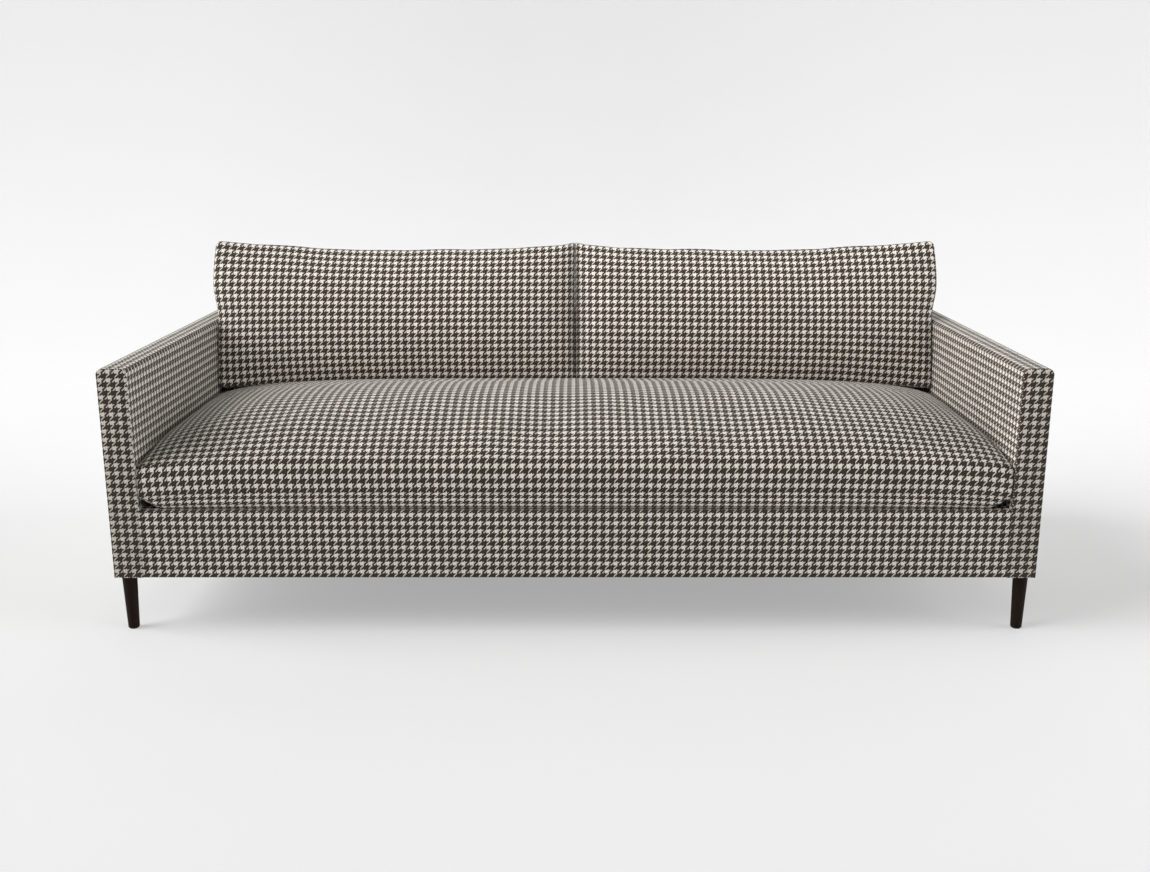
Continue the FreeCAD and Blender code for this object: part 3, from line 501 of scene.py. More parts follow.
def front_rail():
    """The cloth over the front rail, rolled over its top edge onto the deck."""
    rear = FRONT + ROLLED_OVER
    piece = begin_cube("front_rail_upholstery", (-SEAT_HALF, FRONT, LEG_HEIGHT), (SEAT_HALF, rear, DECK))
    bevel(piece, "EDGE", lambda m: near(m.y, FRONT) and near(m.z, DECK), RAIL_RADIUS)
    bevel(piece, "EDGE", lambda m: near(m.y, FRONT) and near(m.z, LEG_HEIGHT), FOOT_RADIUS, 3)
    cut_away(piece, lambda m: near(m.y, rear) or near(abs(m.x), SEAT_HALF))
    path = rounded([(rear, LEG_HEIGHT), (FRONT, LEG_HEIGHT), (FRONT, DECK), (rear, DECK)], {2: RAIL_RADIUS})
    start = length_at(path, np.array([FRONT, LEG_HEIGHT]))
    finish_skin(piece, SKIN, CLOTH,
                lambda p: (p[0], length_at(path, p[1:]) - start),
                ["front_rail_cover", "front_edge_foam"])


front_rail()

# %% [markdown]
# ### Back
# The inside back leans, and rolls over its top to the rear. Outside, a flat panel with its edges
# turned under closes the frame last.

# %% Back
BACK_TOP_FRONT = 0.4375
# The inside back runs back by 87.3 mm in 340 mm of height
SLOPE = 0.0873 / 0.340


def inside_back():
    """The leaning inside back, rolled over its top edge to the rear."""
    rise = ARM_HEIGHT - DECK
    piece = begin_cube("inside_back_upholstery", (-SEAT_HALF, BACK_TOP_FRONT, DECK),
                       (SEAT_HALF, REAR - SKIN, ARM_HEIGHT))
    select(piece, "EDGE", lambda m: near(m.y, BACK_TOP_FRONT) and near(m.z, DECK))
    bpy.ops.transform.translate(value=(0, -rise * SLOPE, 0))
    bevel(piece, "EDGE", lambda m: near(m.y, BACK_TOP_FRONT) and near(m.z, ARM_HEIGHT), ARM_RADIUS)
    cut_away(piece, lambda m: near(m.y, REAR - SKIN) or near(abs(m.x), SEAT_HALF) or near(m.z, DECK))
    corners = [(BACK_TOP_FRONT - rise * SLOPE, DECK), (BACK_TOP_FRONT, ARM_HEIGHT), (REAR, ARM_HEIGHT)]
    path = rounded(corners, {1: ARM_RADIUS})
    finish_skin(piece, SKIN, CLOTH,
                lambda p: (p[0], length_at(path, p[1:])),
                ["inside_back_cover", "back_foam_pad"])


def outside_back(proud=0.002):
    """The flat panel behind, with softly turned edges."""
    low, high = (-HALF_WIDTH, REAR - SKIN, LEG_HEIGHT), (HALF_WIDTH, REAR + proud, ARM_HEIGHT)
    piece = begin_cube("outside_back_panel", low, high)
    bevel(piece, "EDGE", lambda m: near(abs(m.x), HALF_WIDTH) and near(m.z, ARM_HEIGHT), ARM_RADIUS)
    bevel(piece, "FACE", lambda m: near(m.y, REAR + proud), proud, 4)
    finish_skin(piece, 0, CLOTH, lambda p: (-p[0], p[2]), ["outside_back_cover"])


inside_back()
outside_back()

# %% [markdown]
# ## Deck and dust cloth
# The deck cloth lies over the springs, and the dust cloth is stapled under the frame, cut out
# round the legs. Both are pulled flat.

# %% Stretched cloths
def deck():
    """The deck's cotton over its felt pad."""
    low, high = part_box("seat_deck_cloth")
    piece = begin_cube("seat_deck_lining", low, high)
    select(piece, "FACE", lambda m: near(m.z, high[2], 0.0001))
    bpy.ops.mesh.inset(thickness=0.008, depth=0.0006)
    finish_skin(piece, 0, DECK_CLOTH, lambda p: (p[0], p[1]),
                ["seat_deck_cloth", "seat_insulator_pad"])


def dust(notch=0.05):
    """The dust cloth, notched round the legs."""
    low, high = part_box("dust_cover")
    piece = begin_cube("dust_cloth_panel", low, high)
    for axis in (0, 1):
        for sign in (-1, 1):
            bpy.ops.object.mode_set(mode="EDIT")
            bpy.ops.mesh.select_all(action="SELECT")
            plane = [0, 0, 0]
            plane[axis] = (low if sign < 0 else high)[axis] - sign * notch
            normal = [0, 0, 0]
            normal[axis] = 1
            bpy.ops.mesh.bisect(plane_co=plane, plane_no=normal)
    cut_away(piece, lambda m: abs(m.x) > high[0] - notch and abs(m.y) > high[1] - notch)
    bpy.ops.mesh.select_all(action="SELECT")
    bpy.ops.mesh.fill_holes(sides=0)
    finish_skin(piece, 0, DUST_CLOTH, lambda p: (p[0], p[1]), ["dust_cover"])


deck()
dust()

# %% [markdown]
# ## Webbing behind the back
# Eight elastic straps run up the leaning back, from the rear rail to the top rail, and carry the
# back's foam. Each is one flat strip with a thicker edge on either side, as it comes off the loom.

# %% Webbing straps
SLOPE_ANGLE = math.atan(SLOPE)
STRAP_WIDTH, STRAP_HALF_THICKNESS, SELVEDGE = 0.060, 0.0009, 0.0035
# Ten equal places, less the two where a rib of the back stands
STRAP_PLACES = (-4.5, -3.5, -1.5, -0.5, 0.5, 1.5, 3.5, 4.5)


def merge(pieces, name):
    """Makes one piece of several."""
    bpy.ops.object.select_all(action="DESELECT")
    for piece in pieces:
        piece.select_set(True)
    bpy.context.view_layer.objects.active = pieces[0]
    bpy.ops.object.join()
    pieces[0].name = pieces[0].data.name = name
    return pieces[0]


def lay(piece, angle, place):
    """Turns a piece about the sofa's length and sets it in its place."""
    only(piece)
    piece.rotation_euler = (angle, 0, 0)
    piece.location = place
    bpy.ops.object.transform_apply()


def webbing():
    """The straps, each with raised selvedges."""
    low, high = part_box("back_webbing")
    length = (high[2] - low[2]) / math.cos(SLOPE_ANGLE) - 0.0008
    pitch = (high[0] - low[0] - STRAP_WIDTH) / (STRAP_PLACES[-1] - STRAP_PLACES[0])
    middle = [(a + b) / 2 for a, b in zip(low, high)]
    corner = (STRAP_WIDTH / 2, STRAP_HALF_THICKNESS, length / 2)
    straps = []
    for place in STRAP_PLACES:
        strap = begin_cube("strap", [-side for side in corner], corner)
        select(strap, "FACE", lambda m: near(abs(m.y), STRAP_HALF_THICKNESS, 1e-5))
        bpy.ops.mesh.inset(thickness=SELVEDGE, depth=-0.0003, use_individual=True)
        bpy.ops.object.mode_set(mode="OBJECT")
        lay(strap, -SLOPE_ANGLE, (place * pitch, middle[1], middle[2]))
        straps.append(strap)
    piece = merge(straps, "back_webbing_straps")
    finish_skin(piece, 0, WEBBING, lambda p: (p[0], p[2]), ["back_webbing"])


webbing()

# %% [markdown]
# ## The loose cushions
# A cushion is sewn from flat panels and swells with its filling. Its form is easiest to give as
# sections across it: each has a front, a top, a rear and an underside, and they draw in towards
# the ends. One grid over the skin keeps the panels apart, each with straight threads of its own.

# %% Lines of a section
def crown(share, power):
    """How much of its height a crown keeps, from 1 in the middle to 0 at its end."""
    return math.sqrt(max(0.0, 1 - abs(share) ** power))


def bowed(start, end, bulge, full=1.0, steps=40):
    """Points from start to end, bowed outwards to the left of the way; full under 1 is fuller."""
    start, end = np.array(start, float), np.array(end, float)
    along = (end - start) / np.linalg.norm(end - start)
    outward = np.array([-along[1], along[0]])
    shares = (1 - np.cos(np.linspace(0, math.pi, steps + 1)[:, None])) / 2
    return start + (end - start) * shares + outward * bulge * (4 * shares * (1 - shares)) ** full


def joined(*paths):
    """Paths one after the other, without the doubled points between them."""
    return np.concatenate([paths[0]] + [path[1:] for path in paths[1:]])


def spread(path, shares):
    """Points at shares of a path's length."""
    run = lengths(path)
    return np.stack([np.interp(shares * run[-1], run, path[:, axis]) for axis in (0, 1)], 1)


def eased(count, ease=0.75):
    """Shares from 0 to 1 that lie closer together towards both ends."""
    even = np.linspace(0, 1, count + 1)
    return even - ease * np.sin(2 * math.pi * even) / (2 * math.pi)


# %% [markdown]
# ### A skin of six panels
# The sections are joined to a closed box of quads, and every quad knows its panel.

# %% Skin of a cushion
def skin_of(stations, section, ny, nz):
    """The number and place of every grid corner on a cushion's skin, from its sections."""
    nx, depth, height = len(stations) - 1, eased(ny), eased(nz)
    number, places = {}, []
    for i, x in enumerate(stations):
        ways = zip(section(x), (height, depth, height, depth))
        front, top, back, bottom = [spread(path, shares) for path, shares in ways]
        for j in range(ny + 1):
            for k in range(nz + 1):
                if not (i in (0, nx) or j in (0, ny) or k in (0, nz)):
                    continue
                s, t = depth[j], height[k]
                place = (1 - s) * front[k] + s * back[k] + (1 - t) * bottom[j] + t * top[j]
                place = place - (1 - s) * (1 - t) * front[0] - (1 - s) * t * front[-1]
                place = place - s * (1 - t) * back[0] - s * t * back[-1]
                number[i, j, k] = len(places)
                places.append((x, place[0], place[1]))
    return number, np.array(places)


def quads_of(nx, ny, nz):
    """Every quad of a box's skin as its panel and its four grid corners, facing outwards."""
    found = []
    for i in range(nx):
        for k in range(nz):
            quad = [(i, 0, k), (i + 1, 0, k), (i + 1, 0, k + 1), (i, 0, k + 1)]
            found.append(("front", quad))
            found.append(("back", [(a, ny, c) for a, b, c in reversed(quad)]))
        for j in range(ny):
            quad = [(i, j, nz), (i + 1, j, nz), (i + 1, j + 1, nz), (i, j + 1, nz)]
            found.append(("top", quad))
            found.append(("bottom", [(a, b, 0) for a, b, c in reversed(quad)]))
    for j in range(ny):
        for k in range(nz):
            quad = [(nx, j, k), (nx, j + 1, k), (nx, j + 1, k + 1), (nx, j, k + 1)]
            found.append(("right", quad))
            found.append(("left", [(0, b, c) for a, b, c in reversed(quad)]))
    return found


# %% [markdown]
# ### The cut of the cloth
# Each panel is cut straight: its map reads the panel's mean length along the cushion, and the
# length down its middle across. A border's cloth is pulled taller, and so is its pattern. The
# ends are flat, and are read from the side, turned by the cushion's lean.

# %% Cloth maps of the panels
def panel_maps(grid, nx, ny, nz, pulled, rake):
    """For each panel, what turns a grid corner into lengths of cloth along and across."""
    middle = nx // 2

    def runs(cells):
        return lengths(np.array([grid[cell] for cell in cells]))

    front_x = np.mean([runs([(i, 0, k) for i in range(nx + 1)]) for k in range(nz + 1)], 0)
    top_x = np.mean([runs([(i, j, nz) for i in range(nx + 1)]) for j in range(ny + 1)], 0)
    front_x, top_x = front_x - front_x[middle], top_x - top_x[middle]
    front_z = runs([(middle, 0, k) for k in range(nz + 1)]) / pulled
    back_z = runs([(middle, ny, k) for k in range(nz + 1)])
    top_y = runs([(middle, j, nz) for j in range(ny + 1)])
    bottom_y = runs([(middle, j, 0) for j in range(ny + 1)]) * pulled ** 2
    level, upright = (math.cos(rake), -math.sin(rake)), (math.sin(rake), math.cos(rake))
    return {
        "front": lambda i, j, k: (front_x[i], front_z[k]),
        "top": lambda i, j, k: (top_x[i], front_z[-1] + top_y[j]),
        "back": lambda i, j, k: (-front_x[i], back_z[k]),
        "bottom": lambda i, j, k: (front_x[i], -bottom_y[j]),
        "left": lambda *cell: (-grid[cell][1:] @ level, grid[cell][1:] @ upright),
        "right": lambda *cell: (grid[cell][1:] @ level, grid[cell][1:] @ upright),
    }


# %% [markdown]
# ### The filling
# The sections give a cushion's large form, so that it fits its neighbours. Low waves make its free
# panels as uneven as filling is, a cloth simulation with pressure inside swells them, and the
# seams are drawn in last.

# %% Filling and seams
def rumple(piece, held, height=0.0013):
    """Makes the free panels uneven with two slanting waves, 340 and 190 mm long."""
    steps = []
    for vertex in piece.data.vertices:
        if vertex.index not in held:
            x, y, z = vertex.co
            wave = math.sin(15 * x + 9 * y + 6 * z) + 0.7 * math.sin(27 * x - 16 * y + 11 * z + 1.3)
            steps.append((vertex.index, vertex.normal * height * wave))
    for index, step in steps:
        piece.data.vertices[index].co += step


def puff(piece, held, pressure, reach=0.006, frames=12):
    """Lets the filling swell the free panels as real cloth, and keeps the shape it comes to."""
    start = np.array([vertex.co for vertex in piece.data.vertices])
    group = piece.vertex_groups.new(name="held")
    group.add([int(index) for index in held], 1, "REPLACE")
    filling = piece.modifiers.new("filling", "CLOTH")
    filling.settings.vertex_group_mass = group.name
    filling.settings.quality = 4
    filling.settings.use_pressure = True
    filling.settings.uniform_pressure_force = pressure
    filling.settings.effector_weights.gravity = 0
    filling.collision_settings.use_collision = False
    filling.point_cache.frame_start, filling.point_cache.frame_end = 1, frames
    for step in range(1, frames + 1):
        bpy.context.scene.frame_set(step)
    only(piece)
    bpy.ops.object.modifier_apply(modifier=filling.name)
    bpy.context.scene.frame_set(1)
    piece.vertex_groups.clear()
    moves = np.array([vertex.co for vertex in piece.data.vertices]) - start
    size = np.linalg.norm(moves, axis=1)
    moves *= np.minimum(1, reach / np.maximum(size, 1e-9))[:, None]
    for vertex, place in zip(piece.data.vertices, start + moves):
        vertex.co = place
    print(piece.name, "swelled by", (np.minimum(size, reach) * 1000).mean().round(2), "mm")


def stitch(piece, seams, depth=0.0012):
    """Draws the seams in a little, as the thread pulls them into the filling."""
    inwards = [(index, -piece.data.vertices[index].normal * depth) for index in seams]
    for index, step in inwards:
        piece.data.vertices[index].co += step


# %% [markdown]
# ### One cushion from all this
# All three are made by the same steps. Seams, ends and what rests on something stay held.

# %% A loose cushion
def cushion(name, body, stations, section, counts, end_shift, rests, pressure, cloth,
            pulled=1.0, rake=0):
    """One loose cushion, closed all round; counts are its quads across its depth and height."""
    across, high = counts
    nx = len(stations) - 1
    number, places = skin_of(stations, section, across, high)
    middle_x = (stations[0] + stations[-1]) / 2
    for (i, j, k), index in number.items():
        centred = 0
        if i in (0, nx):
            centred = math.sin(math.pi * eased(across)[j]) * math.sin(math.pi * eased(high)[k])
        share = (places[index][0] - middle_x) / (stations[-1] - middle_x)
        places[index][0] += end_shift(share, centred, places[index])
    panels = quads_of(nx, across, high)
    mesh = bpy.data.meshes.new(name)
    mesh.from_pydata(places.tolist(), [], [[number[cell] for cell in quad] for panel, quad in panels])
    piece = bpy.data.objects.new(name, mesh)
    bpy.context.scene.collection.objects.link(piece)
    grid = {cell: places[index] for cell, index in number.items()}
    maps = panel_maps(grid, nx, across, high, pulled, rake)
    layer = mesh.uv_layers.new(name="cloth")
    for face, (panel, quad) in zip(mesh.polygons, panels):
        for loop, cell in zip(face.loop_indices, quad):
            layer.data[loop].uv = maps[panel](*cell)
    mesh.shade_smooth()
    modify(piece, "SMOOTH", factor=0.5, iterations=3)
    seams, held = [], []
    for (i, j, k), index in number.items():
        sides = [i == 0, i == nx, j == 0, j == across, k == 0, k == high]
        if sum(sides) > 1:
            seams.append(index)
        elif not (j == 0 or k == high) or rests(mesh.vertices[index].co):
            held.append(index)
    rumple(piece, set(seams + held))
    puff(piece, seams + held, pressure)
    stitch(piece, seams)
    settle(piece, cloth, body, [f"{body}_cover", f"{body}_core"])
    print("its top is at", round(max(vertex.co.z for vertex in mesh.vertices), 4), "m")


# %% [markdown]
# ### The bench seat cushion
# One long cushion, crowned to the middle and sloping down under the back cushions at the rear.
# Its ends are drawn in, its front border bulges a little between two plain seams, and its
# underside curls up at the front corners, which leaves a small dark notch beside each arm.

# %% Sizes of the seat cushion
SEAT_END, SEAT_BOTTOM = 1.0375, DECK + 0.0003
BORDER_FRONT, BORDER_BULGE, TOE = -0.4995, 0.007, -0.492
# Heights of both seams and the crest at the ends, their rise to the middle, and its form
LOW_SEAM, HIGH_SEAM, CREST = 0.337, 0.414, 0.432
LOW_RISE, HIGH_RISE, CREST_RISE, SEAT_POWER = 0.015, 0.017, 0.060, 4.5
# Where the crest turns down to the rear, where the rear would meet the floor, and the zip's facet
TURN, REAR_FOOT, ZIP_FACET, HEEL = 0.19343, 0.26803, 0.3826, 0.055
# Where the top is highest, by how much it swells, and its bow at the ends
TOP_PEAK, TOP_SWELL, END_BOW = 0.48, 0.101, 0.016
# How far from the ends the underside curls up, and how high
CORNER_RUN, CORNER_LIFT = 0.050, 0.032
# The back cushions' weight keeps the top from swelling behind here
REST_START = 0.02
print("seat cushion", 2 * SEAT_END, "m long")

# %% Bench seat cushion
def rest_line(x):
    """Height of the seat's crest, where its slope under the back cushions starts."""
    return CREST + CREST_RISE * crown(x / SEAT_END, SEAT_POWER)


def top_line(rise, steps=60):
    """The top's section: behind the border it swells up steeply, then runs flat and falls gently."""
    full_seam = HIGH_SEAM + HIGH_RISE
    drop = 1 - (CREST + CREST_RISE - full_seam) / TOP_SWELL
    points = []
    for step in range(steps + 1):
        share = (1 - math.cos(math.pi * step / steps)) / 2
        front, rear = min(share / TOP_PEAK, 1), max(0, (share - TOP_PEAK) / (1 - TOP_PEAK))
        swell = (1 - (1 - front) ** 3.2) - drop * rear ** 1.6
        flat = HIGH_SEAM + (CREST - HIGH_SEAM) * share + END_BOW * share * (1 - share)
        height = (1 - rise) * flat + rise * (full_seam + TOP_SWELL * swell)
        points.append((BORDER_FRONT + (TURN - BORDER_FRONT) * share, height))
    return np.array(points)


def seat_section(x):
    """The seat cushion's front, top, rear and underside at x."""
    rise = crown(x / SEAT_END, SEAT_POWER)
    curl = max(0.0, 1 - (SEAT_END - abs(x)) / CORNER_RUN) ** 1.5
    bottom = SEAT_BOTTOM + CORNER_LIFT * curl
    crest = rest_line(x)
    y = (REAR_FOOT + SLOPE * (crest + TURN * SLOPE)) / (1 + SLOPE ** 2)
    rear = (y, crest - (y - TURN) * SLOPE)
    front_low = (BORDER_FRONT, LOW_SEAM + LOW_RISE * rise)
    front_high = (BORDER_FRONT, HIGH_SEAM + HIGH_RISE * rise)
    heel = (REAR_FOOT + SLOPE * bottom - HEEL, bottom)
    toe = (TOE, bottom)
    facet = (REAR_FOOT + SLOPE * ZIP_FACET, ZIP_FACET)
    front = bowed(front_low, front_high, BORDER_BULGE)
    top = joined(top_line(rise), bowed((TURN, crest), rear, 0))
    back = joined(bowed(heel, facet, 0), bowed(facet, rear, 0))
    bottom_path = joined(bowed(front_low, toe, -0.004 - 0.006 * rise), bowed(toe, heel, 0))
    return front, top, back, bottom_path


def seat_end(share, centred, place):
    """How far a point moves outwards: the seat's ends are pressed against the arms."""
    return math.copysign(0.0005 * centred + 0.0018 * abs(share) ** 40, share)


stations = (eased(190, 0.6) * 2 - 1) * SEAT_END
cushion("bench_seat_cushion", "seat_cushion", stations, seat_section, (72, 14), seat_end,
        lambda spot: spot.y > REST_START, 0.35, CLOTH, pulled=1.2)

# %% [markdown]
# ### The back cushions
# Two pillows lean against the inside back. Their fronts belly out, while the corners stay at the
# height of the cut panel, so that the top edge dips between two horns. Above the arms, which hold
# them, their ends spread.

# %% Sizes of the back cushions
BACK_MIDDLE, BACK_REACH = 0.51765, 0.51735
# Sections are drawn upright, then leaned back and moved to the front edge on the seat
RAKE = math.atan(SLOPE)
BACK_LEAN = np.array([[math.cos(RAKE), -math.sin(RAKE)], [math.sin(RAKE), math.cos(RAKE)]])
BACK_ORIGIN = np.array([0.21919, 0.48539])
# Thickness between the seams, height of the cut panel, and of the horns above it
SEAM_DEPTH, CUT_HEIGHT = 0.115, 0.376
OUTER_HORN, INNER_HORN, INNER_PEAK = 0.028, 0.015, 0.013
# Bellies beyond the seams, how far the front's foot rolls under, and the corners' radius
FRONT_BELLY, REAR_BELLY = 0.049, 0.0547
OUTER_ROLL, INNER_ROLL, CORNER_ROUND = 0.004, 0.045, 0.010
# Heights of the zip's facet, and the spread and bulge of the ends
BACK_HEEL, BACK_RIB = 0.004, 0.075
HELD_SPREAD, FREE_SPREAD, FREE_BULGE = 0.0045, 0.0155, 0.004
print("back cushions lean back by", round(math.degrees(RAKE), 1), "degrees")

# %% Back cushions
def back_section(x):
    """A back cushion's front, top, rear and underside at x."""
    share = (abs(x) - BACK_MIDDLE) / BACK_REACH
    swell = crown(share, 3.5)
    pressed = SEAM_DEPTH + REAR_BELLY * min(1, 1.35 * swell)
    corner = CORNER_ROUND * (1 - crown(max(0.0, (share - 0.98) / 0.02), 2))
    horn = OUTER_HORN * share ** 2 if share > 0 else INNER_HORN * share ** 2 + INNER_PEAK * share ** 14
    top = CUT_HEIGHT + horn - corner
    outer = max(0.0, abs(x) / SEAT_END - 0.75) / 0.25
    lifted = 0.016 * outer ** 3 + 0.008 * max(0.0, (share - 0.9) / 0.1) ** 2
    foot = (rest_line(x) - rest_line(0)) * math.cos(RAKE) + 0.0003 + lifted + corner
    roll = (OUTER_ROLL if share > 0 else INNER_ROLL) * (1 - crown(share, 9))
    lean_back = roll + 0.018 * swell
    rear_top, heel, rib = (SEAM_DEPTH, top - 0.006), (SEAM_DEPTH, BACK_HEEL), (pressed, BACK_RIB)
    rear_high = (pressed, top - 0.11)
    paths = (
        bowed((roll, foot), (lean_back, top), 0.002 + FRONT_BELLY * swell, 0.75),
        bowed((lean_back, top), rear_top, 0.002 + 0.008 * swell),
        joined(bowed(heel, rib, 0), bowed(rib, rear_high, 0),
               bowed(rear_high, rear_top, -0.002 - 0.014 * swell)),
        joined(bowed((roll, foot), (0.08, foot), 0), bowed((0.08, foot), heel, 0)),
    )
    return [path @ BACK_LEAN + BACK_ORIGIN for path in paths]


def back_end(sign):
    """How far a back cushion's points move sideways, as it is held below and free above the arm."""
    def move(share, centred, place):
        if share * sign <= 0:
            return 0
        above = min(1, max(0, (place[2] - ARM_HEIGHT) / 0.10))
        above = above ** 2 * (3 - 2 * above)
        above *= 1 - 0.5 * max(0, (place[2] - 0.76) / 0.11) ** 2
        spread_here = abs(share) ** 8 * (HELD_SPREAD + FREE_SPREAD * above)
        return sign * (spread_here + FREE_BULGE * above * centred)
    return move


for side, sign in SIDES:
    stations = sign * BACK_MIDDLE + (eased(110, 0.7) * 2 - 1) * BACK_REACH
    cushion(f"{side}_loose_back_cushion", f"{side}_back_cushion", stations, back_section, (22, 52),
            back_end(sign), lambda spot: False, 3, BACK_CLOTH, rake=RAKE)

# %% [markdown]
# ### Zips
# Each cover closes along its lower rear edge with a coil zip, so that it can be washed. The tapes
# lie under the cloth and only the coil stands out, as a row of fine turns that the brass slider
# from the CAD model runs on. An array repeats one turn.

# %% Zips
COIL_WIDTH, COIL_RADIUS, COIL_TOP, COIL_PITCH = 0.0044, 0.0009, 0.0017, 0.002
TAPE_HALF, TAPE_LOW, TAPE_HIGH = 0.0049, -0.0008, 0.0002
SEAT_ZIP, BACK_ZIP = 0.8799, 0.3799


def zip_band(cushion_name, middle_x, angle, place, half):
    """A zip's tape and the coil on it; half is half the tape's length."""
    name = f"{cushion_name}_zip_band"
    tape = begin_cube(name, (-half, -TAPE_HALF, TAPE_LOW), (half, TAPE_HALF, TAPE_HIGH))
    select(tape, "FACE", lambda m: near(m.z, TAPE_HIGH, 0.0001))
    bpy.ops.mesh.inset(thickness=0.0008, depth=0)
    bpy.ops.object.mode_set(mode="OBJECT")
    run = 2 * half - 0.01
    bpy.ops.object.select_all(action="DESELECT")
    bpy.ops.mesh.primitive_cylinder_add(vertices=6, radius=COIL_RADIUS, depth=COIL_WIDTH,
                                        rotation=(math.pi / 2, 0, 0))
    coil = bpy.context.object
    coil.location = (-run / 2 + COIL_PITCH / 2, 0, COIL_TOP - COIL_RADIUS)
    bpy.ops.object.transform_apply()
    modify(coil, "ARRAY", count=int(run / COIL_PITCH), use_relative_offset=False,
           use_constant_offset=True, constant_offset_displace=(COIL_PITCH, 0, 0))
    piece = merge([tape, coil], name)
    map_cloth(piece, lambda p: (p[0], p[1]))
    lay(piece, angle, (middle_x, *place))
    settle(piece, TAPE, cushion_name, [f"{cushion_name}_zip_tape"])


def facet_of(upper, lower):
    """The middle of the facet that holds a zip, and how far its outside is turned about X."""
    return (upper + lower) / 2, math.atan2(lower[1] - upper[1], lower[0] - upper[0])


def zips():
    """One zip on each cushion, on the facet between the rear and the underside."""
    facet = np.array((REAR_FOOT + SLOPE * ZIP_FACET, ZIP_FACET))
    heel = np.array((REAR_FOOT + SLOPE * SEAT_BOTTOM - HEEL, SEAT_BOTTOM))
    place, angle = facet_of(facet, heel)
    zip_band("seat_cushion", 0, angle, place, SEAT_ZIP)
    corners = (SEAM_DEPTH + REAR_BELLY, BACK_RIB), (SEAM_DEPTH, BACK_HEEL)
    rib, heel = [np.array(corner) @ BACK_LEAN + BACK_ORIGIN for corner in corners]
    place, angle = facet_of(rib, heel)
    for side, sign in SIDES:
        zip_band(f"{side}_back_cushion", sign * BACK_MIDDLE, angle, place, BACK_ZIP)


zips()

# %% [markdown]
# ## Studio
# The photograph has a pale seamless ground that looks evenly lit. Here it glows a little by itself,
# which is painted light that also lightens the sofa's shade on it, and it curves up behind into a backdrop.

# %% Floor and backdrop
HALF_STUDIO, STUDIO_FRONT, STUDIO_REAR, STUDIO_HEIGHT, BEND = 12, -9, 5, 7, 2.5


def glowing(name, glow_of):
    """Matt white that glows a little by itself, with a strength that depends on the place."""
    made, tree = material(name)
    spot = add(tree, "TexCoord").outputs["Object"]
    place = add(tree, "SeparateXYZ", {0: spot})
    side = sums(tree, "ABSOLUTE", place.outputs[0])
    noise = add(tree, "TexNoise", {"Vector": spot, "Scale": 3})
    shade = add(tree, "Mix", {0: noise, 6: linear("#BEBEBE"), 7: linear("#C0C0C0")}, data_type="RGBA")
    finish_material(tree, shade.outputs[2], 0.9, Specular_IOR_Level=0.1, Emission_Color=linear("#FFFFFF"),
                    Emission_Strength=glow_of(tree, side, place))
    return made


def end_stage(made, coat):
    """Ends a piece of the studio, which is no part of the sofa."""
    bpy.ops.object.mode_set(mode="OBJECT")
    bpy.ops.object.shade_smooth()
    made.data.materials.append(coat)
    print(made.name, len(made.data.polygons), "faces")


def floor_glow(tree, side, place):
    """A little more beside the sofa and behind it."""
    # This glow is painted light: under the sofa it lightens the sofa's shade on the floor
    glow = add(tree, "MapRange", {0: side, 1: 0.5, 2: 2.4, 3: 0.38, 4: 0.42})
    rear = add(tree, "MapRange", {0: place.outputs[1], 1: 0.5, 2: 4.0, 3: 0, 4: 0.04})
    return sums(tree, "ADD", glow, rear)


def floor():
    """A pale floor that curves up behind into a backdrop."""
    bpy.ops.object.select_all(action="DESELECT")
    bpy.ops.mesh.primitive_plane_add(size=1)
    made = bpy.context.object
    made.name = "studio_floor"
    made.scale = (2 * HALF_STUDIO, STUDIO_REAR - STUDIO_FRONT, 1)
    made.location = (0, (STUDIO_REAR + STUDIO_FRONT) / 2, 0)
    bpy.ops.object.transform_apply()
    select(made, "EDGE", lambda m: near(m.y, STUDIO_REAR))
    bpy.ops.mesh.extrude_edges_move(TRANSFORM_OT_translate={"value": (0, 0, STUDIO_HEIGHT)})
    bevel(made, "EDGE", lambda m: near(m.y, STUDIO_REAR) and near(m.z, 0), BEND, 16)
    end_stage(made, glowing("glowing_studio_floor", floor_glow))


# %% [markdown]
# ### Walls for the other views
# From behind and from the sides one would look past the ground's edge. Pale walls stand there,
# outside the photograph's view. Light passes through them and they give the sofa none.

# %% Walls
def wall_glow(tree, side, place):
    """More where the walls rise, most in front."""
    high = add(tree, "MapRange", {0: side, 1: 6, 2: 11, 3: 0.66, 4: 0.50})
    return add(tree, "MapRange", {0: place.outputs[2], 1: 0, 2: BEND, 3: 0.44, 4: high})


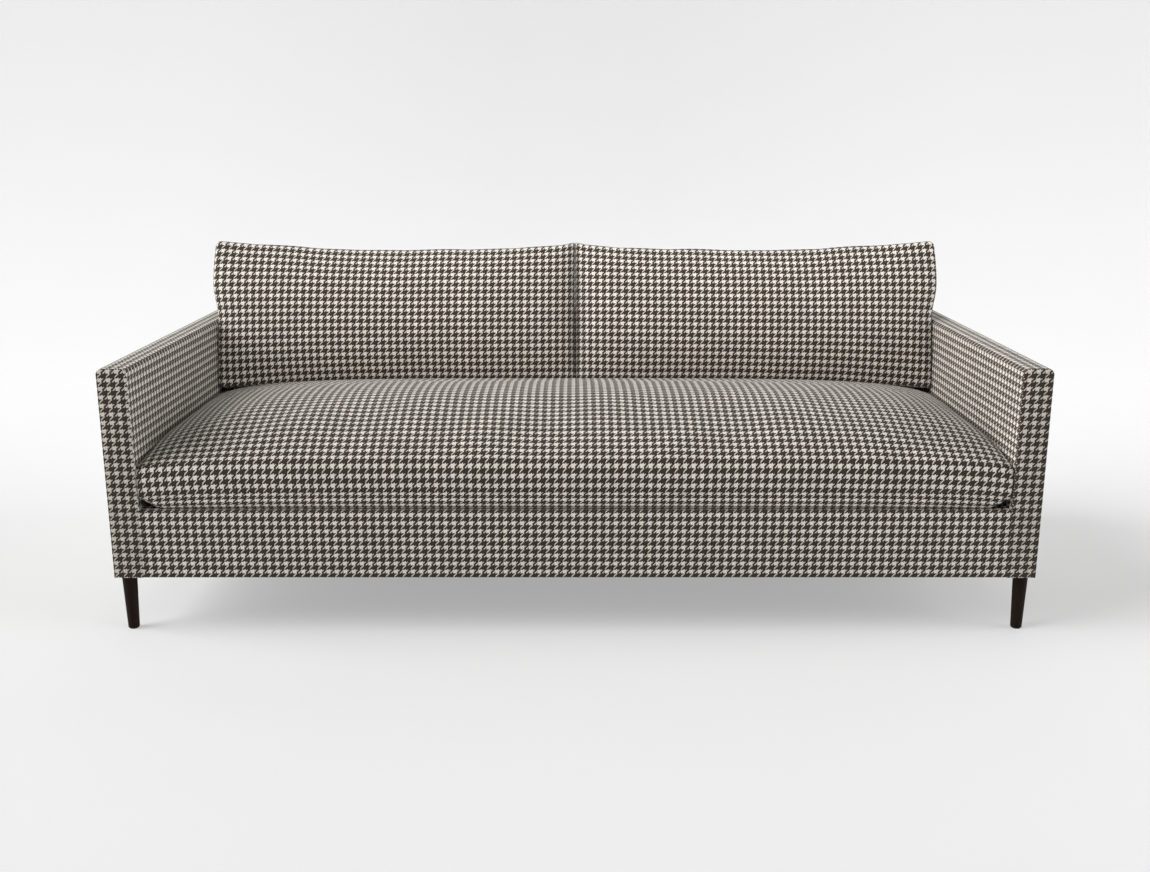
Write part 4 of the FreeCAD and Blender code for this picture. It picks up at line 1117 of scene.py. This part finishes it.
def walls():
    """Pale walls at both sides and in front, curved up from the floor."""
    corners = (-HALF_STUDIO, STUDIO_FRONT, 0), (HALF_STUDIO, STUDIO_REAR, STUDIO_HEIGHT)
    made = begin_cube("studio_walls", *corners)
    cut_away(made, lambda m: near(m.z, STUDIO_HEIGHT) or near(m.y, STUDIO_REAR))
    bevel(made, "EDGE", lambda m: m.y < STUDIO_REAR - 0.1 and m.z < STUDIO_HEIGHT - 0.1, BEND, 16)
    cut_away(made, lambda m: near(m.z, 0, 0.01))
    bpy.ops.mesh.select_all(action="SELECT")
    bpy.ops.mesh.flip_normals()
    made.visible_diffuse = made.visible_glossy = made.visible_shadow = False
    end_stage(made, glowing("matt_white_wall_paint", wall_glow))


walls()
floor()

# %% [markdown]
# ## Light
# Two large soft lights come from the sides, the stronger one from the left. A dim strip above the
# camera lifts the back cushions; a grid on it keeps its light within its spread. A faint light from
# all round fills the shade a little, and the floor's own glow, painted light, keeps the shade under the
# sofa soft.

# %% Light
def lamp(name, kind, place, way, power, **settings):
    """Hangs a light in the studio, pointing along a way."""
    data = bpy.data.lights.new(name, kind)
    data.energy = power
    for setting, value in settings.items():
        setattr(data, setting, value)
    made = bpy.data.objects.new(name, data)
    made.location = place
    made.rotation_euler = Vector(way).to_track_quat("-Z", "Y").to_euler()
    bpy.context.scene.collection.objects.link(made)
    print(name, power)


world = bpy.data.worlds.new("studio_air")
world.use_nodes = True
world.node_tree.nodes["Background"].inputs[0].default_value = linear("#FFFFFF")
world.node_tree.nodes["Background"].inputs[1].default_value = 0.12
bpy.context.scene.world = world
WIDE = math.radians(50)
lamp("key_light", "SUN", (0, 0, 3), (0.83, 0.12, -0.50), 3.4, angle=WIDE)
lamp("fill_light", "SUN", (0, 0, 3), (-0.90, 0.14, -0.32), 1.5, angle=WIDE)
lamp("front_light", "AREA", (0, -2.4, 2.5), (0, 2.7, -1.7), 4.2, shape="RECTANGLE", size=2.8, size_y=0.5,
     spread=math.radians(36))
bpy.context.scene.view_settings.view_transform = "Standard"
